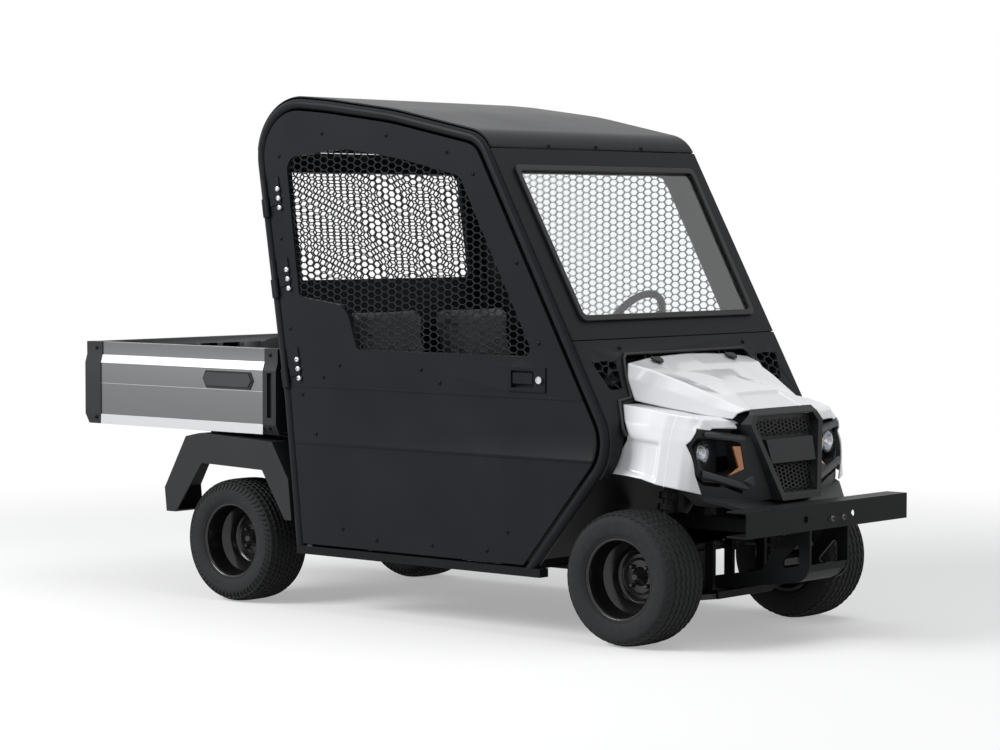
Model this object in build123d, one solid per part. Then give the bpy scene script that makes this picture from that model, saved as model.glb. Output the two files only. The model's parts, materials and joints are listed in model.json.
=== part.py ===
"""Golf utility cart with an enclosed steel cab and a tipping cargo bed.

Millimetres. X counts forward from the rear axle, Y to the left and Z up from the ground; every
piece is moved by -ORIGIN_X as it is written, so that the origin of the written parts lies on the
ground under the middle of the cart. One STEP file is written for each sub-part.
"""

import os
from math import atan2, cos, degrees, hypot, pi, sin

from build123d import *

# ---------------------------------------------------------------- driving dimensions
# Running gear
WHEELBASE = 2000.0
HALF_TRACK = 530.0
TYRE_R = 250.0
TYRE_WIDTH = 250.0
RIM_R = 138.0
BEAD_R = 127.0
RIM_WIDTH = 200.0
SPINDLE_R = 16.0
KINGPIN_Y = HALF_TRACK - 150
KINGPIN_R = 14.0
STEER_ARM = 115.0
AXLE_TUBE_R = 36.0
BEARING_GAP = 0.05
RIM_WALL = 7.0
HUB_DEPTH = 46.0
DISC_R = 62.0
DISC_THICK = 8.0
TYRE_SIDES = 60
RIM_SIDES = 48
HUB_SIDES = 24
POLYGON_FLAT = cos(pi / TYRE_SIDES)
ARM_Z = 300.0
ARM_THICK = 12.0
RACK_Z = 312.0
RACK_R = 9.0
MOVING_GAP = 6.0
SEAT_GAP = 0.3
STRUT_SIDES = 10

# Cab
CAB_HALF = 650.0
TUBE_R = 21.0
CAB_TOP = 2200.0
PANEL_OUT = 31.0
PANEL_THICK = 24.0
PANEL_LAP = 4.0
REAR_PANEL_OUT = 14.0
DOOR_THICK = 28.0
SILL_TOP = 262.0
SILL_BOTTOM = 230.0
SILL_WIDTH = 50.0
DOOR_BOTTOM = 272.0
ROOF_EDGE_Z = 1828.0
COWL_SEAM_Z = 1115.0
COWL_BOTTOM_Z = 610.0
SEAM_GAP = 3.0
FLOOR_THICK = 25.0
CROSSBAR = 30.0
REAR_BAR_REACH = 290.0
HEADER_REACH = 330.0
# Centreline of each side hoop: x, z and bend radius, from the foot of the rear post forward.
HOOP = [
    (407.0, 235.0, 0.0),
    (339.0, 854.0, 900.0),
    (153.0, 2034.0, 205.0),
    (550.0, 1999.0, 1500.0),
    (WHEELBASE - 1100, 1953.0, 1500.0),
    (WHEELBASE - 656, 1860.0, 120.0),
    (WHEELBASE - 23, 724.0, 175.0),
    (WHEELBASE - 428, 235.0, 0.0),
]

# Doors
WINDOW = [
    (338.0, 1800.0, 55.0),
    (650.0, 1832.0, 300.0),
    (WHEELBASE - 1052, 1790.0, 500.0),
    (WHEELBASE - 750, 1722.0, 45.0),
    (WHEELBASE - 382, 1050.0, 30.0),
    (722.0, 1050.0, 25.0),
    (665.0, 1218.0, 90.0),
    (410.0, 1250.0, 25.0),
]
HINGE_Z = (1640.0, 1320.0, 965.0)
HINGE_R = 9.0
HINGE_OUT = 10.0
HINGE_PLATE = 6.0
HINGE_PIN_R = 4.0
HINGE_SEAM = 1.0
HINGE_DROP = 40.0
HINGE_LEAF = 72.0
HINGE_HEIGHT = 150.0
LATCH_X = WHEELBASE - 414
LATCH_Z = 965.0
BEAD_Z = (900.0, 674.0)
BEAD_PROUD = 3.0
MESH_THICK = 3.0
MESH_PITCH_X = 120.0
MESH_PITCH_Z = 90.0
MESH_BAR = 8.0
VENT_PITCH_Y = 44.0
VENT_PITCH_Z = 34.0
VENT_BAR = 5.0

# Windscreen
SCREEN_TOP_Z = 1759.0
SCREEN_BOTTOM_Z = 1179.0
SCREEN_TOP_HALF = CAB_HALF - 88
SCREEN_BOTTOM_HALF = CAB_HALF - 101
SEAL_WIDTH = 24.0
SEAL_PROUD = 12.0
SCREEN_CORNER_R = 30.0
GLASS_THICK = 6.0
REAR_WINDOW_HALF = CAB_HALF - 100
REAR_WINDOW_TOP_Z = 1745.0
REAR_WINDOW_BOTTOM_Z = 1310.0

# Bed
BED_REAR_X = -870.0
BED_FRONT_X = 262.0
BED_HALF = 628.0
BED_BOTTOM_Z = 690.0
BED_TOP_Z = 1038.0
BED_WALL = 42.0
BED_FLOOR_THICK = 26.0
BED_CAP_FRONT = 74.0
BED_CAP_REAR = 96.0
BED_PIVOT_X = -450.0
BED_PIVOT_Z = 632.0
BED_PIN_R = 12.0
BED_FLOOR_Z = 726.0
TAILGATE_THICK = 36.0
GATE_PIVOT = 12.0
GATE_PIN_R = 6.0

# Front end
BUMPER_FRONT_X = WHEELBASE + 498
BUMPER_HALF = 523.0
BUMPER_TOP_Z = 519.0
BUMPER_BOTTOM_Z = 423.0
BUMPER_DEPTH = 90.0
BUMPER_WALL = 6.0
BUMPER_HOLE_Y = 155.0
BUMPER_HOLE_Z = 467.0
BUMPER_HOLE_R = 14.0
HOOD_HINGE_Y = 235.0
HOOD_PIVOT_X = WHEELBASE - 168
HOOD_PIVOT_Z = 1036.0
HOOD_PIVOT_R = 9.0
HOOD_THICK = 8.0
HOOD_REAR_GAP = 5.0
HOOD_FRONT_X = WHEELBASE + 262
HOOD_GAP = 13.0
RECESS_DEPTH = 4.0
# Half sections of the hood: station ahead of the front axle, then half width and height of the
# spine's edge, the scoop's valley, the ridge, the lower edge of its bright band and the skirt.
HOOD_SECTIONS = [
    (-200.0, (120, 1064), (270, 1060), (398, 1047), (415, 990), (457, 894)),
    (-45.0, (110, 990), (220, 990), (330, 990), (348, 936), (373, 869)),
    (35.0, (60, 962), (180, 946), (296, 964), (312, 907), (330, 856)),
    (165.0, (150, 915), (195, 911), (238, 906), (255, 861), (261, 835)),
    (280.0, (130, 852), (165, 850), (190, 843), (206, 815), (211, 798)),
]
# Half sections of the fender: station, then shoulder, second crease and step, and the lower
# edge's height. Below the step its face flares by one share of its drop.
FENDER_THICK = 8.0
FENDER_FLARE = 0.255
FENDER_SECTIONS = [
    (-100.0, (500, 886), (520, 826), (531, 795), 640),
    (60.0, (498, 867), (511, 803), (519, 771), 610),
    (165.0, (466, 838), (485, 788), (496, 753), 592),
    (230.0, (430, 790), (450, 752), (464, 712), 570),
]
SEAM = 6.0
GRILLE_TOP_Z = 841.0
GRILLE_BOTTOM_Z = 526.0
GRILLE_TOP_HALF = 206.0
GRILLE_BOTTOM_HALF = 123.0
GRILLE_LEAN = 0.248
GRILLE_TOP_X = WHEELBASE + 297
GRILLE_FRAME = 26.0
GRILLE_DEPTH = 40.0
NOSE_REAR_X = WHEELBASE + 205
LAMP_R = 46.0
LAMP_Y = 405.0
LAMP_Z = 709.0
LAMP_BACK_X = WHEELBASE + 185
BEZEL_REAR_X = WHEELBASE + 150
TRAY_THICK = 10.0

# Seats and steering wheel
SEAT_Y = CAB_HALF - 380
SEAT_BOX_Z = 640.0
SEAT_TOP_Z = 760.0
STEER_HUB = (WHEELBASE - 620, 280.0, 1105.0)
STEER_FOOT = (WHEELBASE - 280, 280.0, 900.0)
STEER_WHEEL_R = 165.0
STEER_RIM_R = 14.0
STEER_SHAFT = 40.0
STEER_SHAFT_R = 9.0

# Frame
RAIL_Y = 215.0
RAIL_WIDTH = 40.0
RAIL_HEIGHT = 50.0
REAR_RAIL_Z = 622.0
MID_RAIL_Z = 236.0
FRONT_RAIL_Z = 435.0
OUTRIGGER_TOP_Z = 629.0
MEMBER_TOP_Z = TYRE_R - 76
MEMBER_THICK = 30.0
TOE_HALF = 130.0
TOE_THICK = 12.0

ORIGIN_X = (BUMPER_FRONT_X + BED_REAR_X) / 2
TUBE_Y = CAB_HALF - TUBE_R
STRUT_Y = HALF_TRACK - 230
CAB_INSIDE = TUBE_Y - TUBE_R - SEAT_GAP


# ---------------------------------------------------------------- helpers
def write(name, shape):
    """Move a piece to the written origin and save it as one STEP file."""
    export_step(Pos(-ORIGIN_X, 0, 0) * shape, f"parts/{name}.step")


def mirrored(shape):
    """The same piece on the other side of the cart."""
    return mirror(shape, about=Plane.XZ)


def write_pair(name, right):
    """Save a right-hand piece and its left-hand mirror image."""
    write(f"{name}_right", right)
    write(f"{name}_left", mirrored(right))


def outline(corners):
    """Closed face from (x, y, corner radius) triples."""
    line = FilletPolyline([(x, y) for x, y, _ in corners], radius=[r for _, _, r in corners], close=True)
    return make_face(line)


def polygon(*points):
    """Closed face from plain points."""
    return make_face(Polyline(*points, close=True))


def side_solid(face, y_from, y_to):
    """A face drawn in X and Z made solid between two values of Y."""
    plane = Plane(origin=(0, max(y_from, y_to), 0), x_dir=(1, 0, 0), z_dir=(0, -1, 0))
    return extrude(plane * face, amount=abs(y_to - y_from), dir=(0, -1, 0))


def front_solid(face, x_from, x_to):
    """A face drawn in Y and Z made solid between two values of X."""
    plane = Plane(origin=(min(x_from, x_to), 0, 0), x_dir=(0, 1, 0), z_dir=(1, 0, 0))
    return extrude(plane * face, amount=abs(x_to - x_from), dir=(1, 0, 0))


def plan_solid(face, z_from, z_to):
    """A face drawn in X and Y made solid between two heights."""
    return extrude(Pos(0, 0, min(z_from, z_to)) * face, amount=abs(z_to - z_from), dir=(0, 0, 1))


def block(x_from, x_to, y_from, y_to, z_from, z_to):
    """Plain box between two corners."""
    box = Box(abs(x_to - x_from), abs(y_to - y_from), abs(z_to - z_from))
    return Pos((x_from + x_to) / 2, (y_from + y_to) / 2, (z_from + z_to) / 2) * box


def rod(start, end, radius):
    """Round bar between two points."""
    a, b = Vector(start), Vector(end)
    return extrude(Plane(origin=a, z_dir=b - a) * Circle(radius), amount=(b - a).length)


def ribbon_corners(points, width, side=0):
    """Corners of a band of constant width along a polyline: side 0 lies on the line, 1 to its left."""
    left, right = [], []
    for i, (x, y) in enumerate(points):
        before = points[max(i - 1, 0)]
        after = points[min(i + 1, len(points) - 1)]
        directions = []
        for (xa, ya), (xb, yb) in ((before, (x, y)), ((x, y), after)):
            length = hypot(xb - xa, yb - ya)
            if length > 0:
                directions.append(((xb - xa) / length, (yb - ya) / length))
        nx = -sum(d[1] for d in directions)
        ny = sum(d[0] for d in directions)
        size = hypot(nx, ny)
        nx, ny = nx / size, ny / size
        reach = width / (nx * -directions[0][1] + ny * directions[0][0])
        near, far = reach * (1 + side) / 2, reach * (1 - side) / 2
        left.append((x + nx * near, y + ny * near))
        right.append((x - nx * far, y - ny * far))
    return left + right[::-1]


def ribbon(points, width):
    """Face of constant width along a polyline, with mitred corners."""
    return polygon(*ribbon_corners(points, width))


def faceted(loops, split):
    """Solid with flat facets through loops of points, each facet whole or split into two triangles."""
    faces = [Face(Wire.make_polygon(loop)) for loop in (loops[0], loops[-1])]
    for low, high in zip(loops, loops[1:]):
        for i in range(len(low)):
            a, b, c, d = low[i - 1], low[i], high[i], high[i - 1]
            facets = [(a, b, c), (a, c, d)] if split else [(a, b, c, d)]
            faces += [Face(Wire.make_polygon(facet)) for facet in facets]
    return Solid(Shell(faces))


def turned(sides, *rings):
    """Many-sided solid of turned shape through rings of (radius, distance along Y)."""
    angles = [2 * pi * i / sides for i in range(sides)]
    return faceted([[(r * cos(a), y, r * sin(a)) for a in angles] for r, y in rings], False)


def between(sections, x):
    """Points of a table of sections at a station, straight between its rows."""
    after = next(i for i in range(1, len(sections)) if x <= sections[i][0] or i == len(sections) - 1)
    (xa, *low), (xb, *high) = sections[after - 1], sections[after]
    share = (x - xa) / (xb - xa)
    return [(wa + (wb - wa) * share, za + (zb - za) * share) for (wa, za), (wb, zb) in zip(low, high)]


def hex_mesh(face, pitch_x, pitch_y, bar):
    """A flat face pierced by rows of long hexagons, with bars of one width between them."""
    box = face.bounding_box()
    columns = int(box.size.X / pitch_x) + 3
    rows = int(box.size.Y / pitch_y) + 3
    half_x, half_y = (pitch_x - bar) * 2 / 3, (pitch_y - bar) / 2
    cell = polygon(
        (-half_x, 0), (-half_x / 2, -half_y), (half_x / 2, -half_y),
        (half_x, 0), (half_x / 2, half_y), (-half_x / 2, half_y),
    )
    middle = box.center()
    frame = offset(face, -bar, kind=Kind.INTERSECTION)
    cells = Sketch()
    for i in range(columns):
        x = middle.X + (i - columns // 2) * pitch_x
        cells += [Pos(x, middle.Y + (j - rows // 2 + 0.5 * (i % 2)) * pitch_y) * cell for j in range(rows)]
    return face - (cells & frame)


# ---------------------------------------------------------------- cab side geometry
def hoop_line():
    """Centreline of one hoop in X and Z."""
    return FilletPolyline([(x, z) for x, z, _ in HOOP], radius=[r for _, _, r in HOOP[1:-1]])


def cab_face(grow):
    """Side view of the cab inside its hoop centreline, grown or shrunk by a distance."""
    line = hoop_line()
    face = make_face(line + Line(line @ 1, line @ 0))
    return offset(face, grow, kind=Kind.INTERSECTION) if grow else face


def cab_band(outer, inner, low_z, high_z, front):
    """Strip that follows the hoop between two offsets, on its front or rear side."""
    mid_x = WHEELBASE - 1100
    x_from, x_to = (mid_x, WHEELBASE + 400) if front else (-200.0, mid_x)
    window = Pos((x_from + x_to) / 2, (low_z + high_z) / 2) * Rectangle(x_to - x_from, high_z - low_z)
    return (cab_face(outer) - cab_face(inner)) & window


def pillar_x(z):
    """X of the windscreen pillar's centreline at a height."""
    (xa, za, _), (xb, zb, _) = HOOP[5], HOOP[6]
    return xa + (xb - xa) * (z - za) / (zb - za)


def post_x(z):
    """X of the rear post's centreline at a height above its lower bend."""
    (xa, za, _), (xb, zb, _) = HOOP[1], HOOP[2]
    return xa + (xb - xa) * (z - za) / (zb - za)


def foot_x(z):
    """X of the rear post's centreline below its bend."""
    (xa, za, _), (xb, zb, _) = HOOP[0], HOOP[1]
    return xa + (xb - xa) * (z - za) / (zb - za)


def cab_panel(profile, lap_profile):
    """A panel between the hoops with a thin edge that laps over the tubes."""
    lap = TUBE_Y + PANEL_LAP
    return side_solid(profile, -CAB_INSIDE, CAB_INSIDE) + side_solid(lap_profile, -lap, lap)


def front_plane(offset_out):
    """Plane of the windscreen, with X to the left side and Y up the slope."""
    (xa, za, _), (xb, zb, _) = HOOP[5], HOOP[6]
    length = hypot(xb - xa, zb - za)
    nx, nz = (za - zb) / length, (xb - xa) / length
    origin = (pillar_x(COWL_SEAM_Z) + nx * offset_out, 0, COWL_SEAM_Z + nz * offset_out)
    return Plane(origin=origin, x_dir=(0, 1, 0), z_dir=(nx, 0, nz))


def rear_plane(offset_out):
    """Plane of the rear wall, with X to the right side and Y up the slope."""
    (xa, za, _), (xb, zb, _) = HOOP[1], HOOP[2]
    length = hypot(xb - xa, zb - za)
    nx, nz = (za - zb) / length, (xb - xa) / length
    origin = (post_x(REAR_WINDOW_BOTTOM_Z) + nx * offset_out, 0, REAR_WINDOW_BOTTOM_Z + nz * offset_out)
    return Plane(origin=origin, x_dir=(0, -1, 0), z_dir=(nx, 0, nz))


def slope_of(a, b):
    """Rise of one hoop span for each unit of its length."""
    return abs(b[1] - a[1]) / hypot(b[0] - a[0], b[1] - a[1])


FRONT_RISE = slope_of(HOOP[5], HOOP[6])
REAR_RISE = slope_of(HOOP[1], HOOP[2])


def screen_face(inset):
    """Windscreen outline in its own plane, drawn in by a distance."""
    lift = (PANEL_OUT * (1 - FRONT_RISE ** 2) ** 0.5) / FRONT_RISE
    low = (SCREEN_BOTTOM_Z - COWL_SEAM_Z) / FRONT_RISE - lift + inset
    high = (SCREEN_TOP_Z - COWL_SEAM_Z) / FRONT_RISE - lift - inset
    bottom, top = SCREEN_BOTTOM_HALF - inset, SCREEN_TOP_HALF - inset
    radius = SCREEN_CORNER_R - inset / 2
    return outline([
        (-bottom, low, radius), (bottom, low, radius), (top, high, radius), (-top, high, radius),
    ])


def rear_window_face(inset):
    """Rear window outline in the rear wall's own plane."""
    height = (REAR_WINDOW_TOP_Z - REAR_WINDOW_BOTTOM_Z) / REAR_RISE
    half = REAR_WINDOW_HALF - inset
    radius = SCREEN_CORNER_R - inset
    return outline([
        (-half, inset, radius), (half, inset, radius), (half, height - inset, radius),
        (-half, height - inset, radius),
    ])


# ---------------------------------------------------------------- cab
def cab_hoop():
    """Right side hoop: one bent tube that stands on the sill and carries the lower hinge barrels."""
    line = hoop_line()
    path = Plane(origin=(0, -TUBE_Y, 0), x_dir=(1, 0, 0), z_dir=(0, -1, 0)) * line
    tube = sweep(Plane(origin=path @ 0, z_dir=path % 0) * Circle(TUBE_R), path=path)
    above_sill = block(0, WHEELBASE + 400, -TUBE_Y - 60, -TUBE_Y + 60, SILL_TOP, CAB_TOP)
    hoop = tube & above_sill
    for z in HINGE_Z:
        middle = along_hinge(z)
        low = middle - HINGE_HEIGHT / 2
        hoop += hinge_block(-TUBE_R - MOVING_GAP, -2, -2, HINGE_OUT + 6, low, middle - HINGE_SEAM)
        hoop += hinge_rod(HINGE_R, low, middle - HINGE_SEAM)
        hoop += hinge_rod(HINGE_PIN_R, low, middle + HINGE_HEIGHT / 2 - 10)
    return hoop


def roof_panel():
    """Sheet roof between the hoops, rolled down at both ends."""
    rear = cab_band(PANEL_OUT, PANEL_OUT - PANEL_THICK, ROOF_EDGE_Z, CAB_TOP, False)
    front = cab_band(PANEL_OUT, PANEL_OUT - PANEL_THICK, ROOF_EDGE_Z, CAB_TOP, True)
    lap = PANEL_OUT - TUBE_R - SEAT_GAP
    rear_lap = cab_band(PANEL_OUT, PANEL_OUT - lap, ROOF_EDGE_Z, CAB_TOP, False)
    front_lap = cab_band(PANEL_OUT, PANEL_OUT - lap, ROOF_EDGE_Z, CAB_TOP, True)
    return cab_panel(rear + front, rear_lap + front_lap)


def windshield_panel():
    """Front wall above the cowl with the windscreen cut through it."""
    lap = PANEL_OUT - TUBE_R - SEAT_GAP
    high = ROOF_EDGE_Z - SEAM_GAP
    wall = cab_panel(
        cab_band(PANEL_OUT, PANEL_OUT - PANEL_THICK, COWL_SEAM_Z, high, True),
        cab_band(PANEL_OUT, PANEL_OUT - lap, COWL_SEAM_Z, high, True),
    )
    hole = extrude(front_plane(0) * screen_face(SEAL_WIDTH / 2), amount=120, both=True)
    return wall - hole


def windshield_seal():
    """Rubber frame seated in the windscreen hole and proud of the panel."""
    outer = extrude(front_plane(PANEL_OUT + SEAT_GAP) * screen_face(0), amount=SEAL_PROUD)
    plug_face = screen_face(SEAL_WIDTH / 2 + SEAT_GAP)
    plug = extrude(front_plane(PANEL_OUT - PANEL_THICK) * plug_face, amount=PANEL_THICK + 2)
    clear = extrude(front_plane(0) * screen_face(SEAL_WIDTH), amount=90, both=True)
    groove = extrude(
        front_plane(PANEL_OUT - GLASS_THICK) * screen_face(SEAL_WIDTH * 0.75), amount=GLASS_THICK
    )
    return outer + plug - clear - groove


def windshield_glass():
    """Flat pane held in the seal's groove."""
    pane = front_plane(PANEL_OUT - GLASS_THICK + SEAT_GAP) * screen_face(SEAL_WIDTH * 0.75 + SEAT_GAP)
    return extrude(pane, amount=GLASS_THICK - 2 * SEAT_GAP)


def cowl_panel():
    """Front wall below the seam, cut round the hood and pierced by two mesh vents."""
    lap = PANEL_OUT - TUBE_R - SEAT_GAP
    high = COWL_SEAM_Z - SEAM_GAP
    wall = cab_panel(
        cab_band(PANEL_OUT, PANEL_OUT - PANEL_THICK, COWL_BOTTOM_Z, high, True),
        cab_band(PANEL_OUT, PANEL_OUT - lap, COWL_BOTTOM_Z, high, True),
    )
    side_edge = [
        (382, HOOD_PIVOT_Z + 22), (410, 892), (CAB_HALF - 154, 876), (CAB_HALF - 88, 760),
        (CAB_HALF - 60, COWL_BOTTOM_Z - 5),
    ]
    mouth = polygon(*side_edge, *[(-y, z) for y, z in reversed(side_edge)])
    wall -= front_solid(mouth, HOOD_PIVOT_X - 130, HOOD_PIVOT_X + 370)
    face = cab_face(PANEL_OUT)
    for side in (-1, 1):
        near, far = side * (HOOD_HINGE_Y - 20), side * (HOOD_HINGE_Y + 20)
        for y in (near, far):
            ear = block(
                HOOD_PIVOT_X - HOOD_PIVOT_R, HOOD_PIVOT_X + HOOD_PIVOT_R, y - 4, y + 4,
                HOOD_PIVOT_Z - HOOD_PIVOT_R, HOOD_PIVOT_Z + 34,
            )
            wall += ear & side_solid(face, -CAB_HALF, CAB_HALF)
        wall += rod((HOOD_PIVOT_X, near, HOOD_PIVOT_Z), (HOOD_PIVOT_X, far, HOOD_PIVOT_Z), HINGE_PIN_R)
        vent = polygon(
            (side * (CAB_HALF - 214), 1041), (side * (CAB_HALF - 56), 1041), (side * (CAB_HALF - 101), 928),
            (side * (CAB_HALF - 182), 928),
        )
        holes = vent - hex_mesh(vent, VENT_PITCH_Y, VENT_PITCH_Z, VENT_BAR)
        wall -= front_solid(holes, HOOD_PIVOT_X - 130, HOOD_PIVOT_X + 370)
    return wall


def cab_rear_panel():
    """Rear wall between the rear posts, with its window cut through."""
    band = cab_band(REAR_PANEL_OUT, REAR_PANEL_OUT - PANEL_THICK, 290, ROOF_EDGE_Z - SEAM_GAP, False)
    wall = side_solid(band, -CAB_INSIDE, CAB_INSIDE)
    hole = extrude(rear_plane(0) * rear_window_face(0), amount=80, both=True)
    return wall - hole


def rear_window_mesh():
    """Hexagonal steel mesh that fills the rear window."""
    face = hex_mesh(rear_window_face(SEAT_GAP), MESH_PITCH_X, MESH_PITCH_Z, MESH_BAR)
    return extrude(rear_plane(REAR_PANEL_OUT - 2 * MESH_THICK) * face, amount=MESH_THICK)


def cab_crossbars():
    """Square tubes that tie the two hoops together under the roof and behind the cowl seam."""
    inset = CROSSBAR / 2 - (PANEL_OUT - PANEL_THICK) + 1.0
    seam_reach = (HOOP[5][1] - COWL_SEAM_Z) / FRONT_RISE
    bars = Part()
    for corner, reach in ((2, REAR_BAR_REACH), (4, HEADER_REACH), (5, seam_reach)):
        (xa, za, _), (xb, zb, _) = HOOP[corner], HOOP[corner + 1]
        length = hypot(xb - xa, zb - za)
        ux, uz = (xb - xa) / length, (zb - za) / length
        centre = (xa + ux * reach + uz * inset, za + uz * reach - ux * inset)
        square = Pos(*centre) * Rot(0, 0, degrees(atan2(uz, ux))) * Rectangle(CROSSBAR, CROSSBAR)
        bars += side_solid(square, -CAB_INSIDE, CAB_INSIDE)
    return bars


def floor_pan():
    """Cab floor with the sloping toe board in front of the pedals."""
    half = CAB_HALF - SILL_WIDTH - SEAT_GAP
    middle = WHEELBASE - 200
    floor = block(430, WHEELBASE - 440, -half, half, SILL_TOP, SILL_TOP + FLOOR_THICK)
    toe_band = (cab_face(-24) - cab_face(-44)) & (Pos(middle, 460) * Rectangle(700, 350))
    toe = side_solid(toe_band, -half + 12, half - 12)
    shelf_band = cab_face(PANEL_OUT - PANEL_THICK - SEAT_GAP) - cab_face(-44)
    shelf = side_solid(shelf_band & (Pos(middle, 622) * Rectangle(700, 16)), -half + 12, half - 12)
    pedals = Part()
    for y in (195.0, 300.0):
        pedals += Pos(WHEELBASE - 440, y, 372) * Rot(0, -38, 0) * Box(12, 70, 130)
        pedals += rod((WHEELBASE - 438, y, 372), (WHEELBASE - 340, y, 440), 7)
    return floor + toe + shelf + pedals


# ---------------------------------------------------------------- doors
def hinge_axis():
    """A point on the right door's hinge axis and the axis direction, along the rear post."""
    (xa, za, _), (xb, zb, _) = HOOP[1], HOOP[2]
    length = hypot(xb - xa, zb - za)
    direction = ((xb - xa) / length, 0, (zb - za) / length)
    return (post_x(HINGE_Z[1]) + TUBE_R + MOVING_GAP / 2, -CAB_HALF - HINGE_OUT, HINGE_Z[1]), direction


def door_face(inset):
    """Door outline in X and Z: the hoop's inside, above the sill."""
    face = cab_face(-TUBE_R - MOVING_GAP - inset)
    low = DOOR_BOTTOM + inset
    window = Pos(WHEELBASE / 2, (low + CAB_TOP) / 2) * Rectangle(2 * WHEELBASE, CAB_TOP - low)
    return face & window


def hinge_plane():
    """Plane across the hinge axis at the middle hinge."""
    point, direction = hinge_axis()
    return Plane(origin=point, x_dir=(direction[2], 0, -direction[0]), z_dir=direction)


def along_hinge(z):
    """Distance along the hinge axis from the middle hinge to a height."""
    _, direction = hinge_axis()
    return (z - HINGE_Z[1]) / direction[2]


def hinge_block(x_from, x_to, y_from, y_to, low, high):
    """Box placed from the hinge axis: forward, inboard and along the axis."""
    middle = Pos((x_from + x_to) / 2, (y_from + y_to) / 2, (low + high) / 2)
    return hinge_plane() * middle * Box(x_to - x_from, y_to - y_from, high - low)


def hinge_rod(radius, low, high):
    """Round bar on the hinge axis between two distances along it."""
    return hinge_plane() * Pos(0, 0, low) * extrude(Circle(radius), amount=high - low)


def door():
    """Right door leaf with pressed beads, hinge leaves and a latch paddle."""
    outside = -CAB_HALF
    leaf = side_solid(door_face(0), outside, outside + DOOR_THICK)
    leaf -= side_solid(outline(WINDOW), outside - 10, outside + DOOR_THICK + 10)
    for z in BEAD_Z:
        strip = door_face(4) & (Pos(WHEELBASE / 2, z) * Rectangle(2 * WHEELBASE, 10))
        leaf += side_solid(strip, outside - BEAD_PROUD, outside)
    skin = HINGE_OUT
    for z in HINGE_Z:
        middle = along_hinge(z)
        high = middle + HINGE_HEIGHT / 2
        low = middle - HINGE_HEIGHT / 2 + HINGE_DROP
        leaf += hinge_block(0, HINGE_LEAF, skin - HINGE_PLATE, skin + 1, middle, high)
        leaf += hinge_block(HINGE_R + MOVING_GAP, HINGE_LEAF, skin - HINGE_PLATE, skin + 1, low, middle)
        leaf += hinge_rod(HINGE_R, middle, high)
        leaf -= hinge_rod(HINGE_PIN_R + BEARING_GAP, middle - 1, high - 8)
    latch = Pos(LATCH_X, LATCH_Z) * Rectangle(180, 92)
    leaf += side_solid(latch, outside - 6, outside)
    leaf -= side_solid(Pos(LATCH_X - 20, LATCH_Z) * Rectangle(110, 64), outside - 7, outside + 10)
    leaf += side_solid(Pos(LATCH_X - 20, LATCH_Z + 4) * Rectangle(96, 40), outside - 4, outside + 12)
    leaf += side_solid(Pos(LATCH_X + 66, LATCH_Z) * Circle(13), outside - 14, outside - 5)
    return leaf


def door_mesh():
    """Hexagonal steel mesh that fills the door window."""
    face = hex_mesh(offset(outline(WINDOW), -SEAT_GAP), MESH_PITCH_X, MESH_PITCH_Z, MESH_BAR)
    return side_solid(face, -CAB_HALF + 6, -CAB_HALF + 6 + MESH_THICK)


# ---------------------------------------------------------------- wheels
def tyre():
    """Tyre with a rounded shoulder, many-sided round its own axle."""
    half = TYRE_WIDTH / 2
    bead, seat = RIM_WIDTH / 2 - 14, (BEAD_R + SEAT_GAP) / POLYGON_FLAT
    body = turned(
        TYRE_SIDES, (RIM_R - 4, -bead), (RIM_R + 30, -half), (TYRE_R - 22, 8 - half), (TYRE_R - 7, 24 - half),
        (TYRE_R, 52 - half), (TYRE_R, half - 52), (TYRE_R - 7, half - 24), (TYRE_R - 22, half - 8),
        (RIM_R + 30, half), (RIM_R - 4, bead),
    )
    return body - turned(TYRE_SIDES, (seat, -half - 1), (seat, half + 1))


def wheel():
    """Left deep-dish steel wheel with slots near the rim of its disc and a conical hub cap."""
    half = RIM_WIDTH / 2
    well = BEAD_R - 20
    body = turned(
        RIM_SIDES, (RIM_R, -half), (BEAD_R, 6 - half), (BEAD_R, 40 - half), (well, 55 - half),
        (well, half - 55), (BEAD_R, half - 40), (BEAD_R, half - 6), (RIM_R, half),
    )
    inside = BEAD_R - RIM_WALL
    dish, step = well - RIM_WALL - 3, DISC_R + 12
    body -= turned(
        RIM_SIDES, (step, DISC_THICK), (dish, DISC_THICK + 1), (dish, half - 55), (inside, half - 34),
        (inside, half + 1),
    )
    body -= turned(RIM_SIDES, (inside, -half - 1), (inside, 34 - half), (dish, 55 - half), (dish, 0))
    body += turned(RIM_SIDES, (DISC_R + 12, 0), (DISC_R + 12, DISC_THICK), (DISC_R, 18), (DISC_R - 30, 19))
    body += turned(HUB_SIDES, (34, 10), (34, 22), (28, 44), (14, 58))
    for i in range(8):
        body -= Rot(0, 45 * i, 0) * Pos(86, 0, 0) * Box(10, 60, 24)
    for i in range(4):
        nut = Rot(0, 45 + 90 * i, 0) * Pos(48, 17, 0) * Rot(-90, 0, 0)
        body += nut * extrude(RegularPolygon(11, 6), amount=16)
    body -= rod((0, -half, 0), (0, HUB_DEPTH + 2, 0), SPINDLE_R + BEARING_GAP)
    return body


def steer_knuckle():
    """Right steering knuckle: upright on the kingpin, spindle and steering arm."""
    x, y = WHEELBASE, -KINGPIN_Y
    low, high = TYRE_R - 80, TYRE_R + 80
    body = block(x - 22, x + 22, y - 17, y + 17, low, high)
    body += rod((x, y, TYRE_R), (x, -HALF_TRACK - HUB_DEPTH, TYRE_R), SPINDLE_R)
    arm = polygon((x, y - 3), (x, y + 17), (x - STEER_ARM - 14, y + 34), (x - STEER_ARM - 14, y + 6))
    body += plan_solid(arm, ARM_Z - ARM_THICK, ARM_Z)
    return body - rod((x, y, low - 1), (x, y, high + 1), KINGPIN_R + BEARING_GAP)


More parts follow.
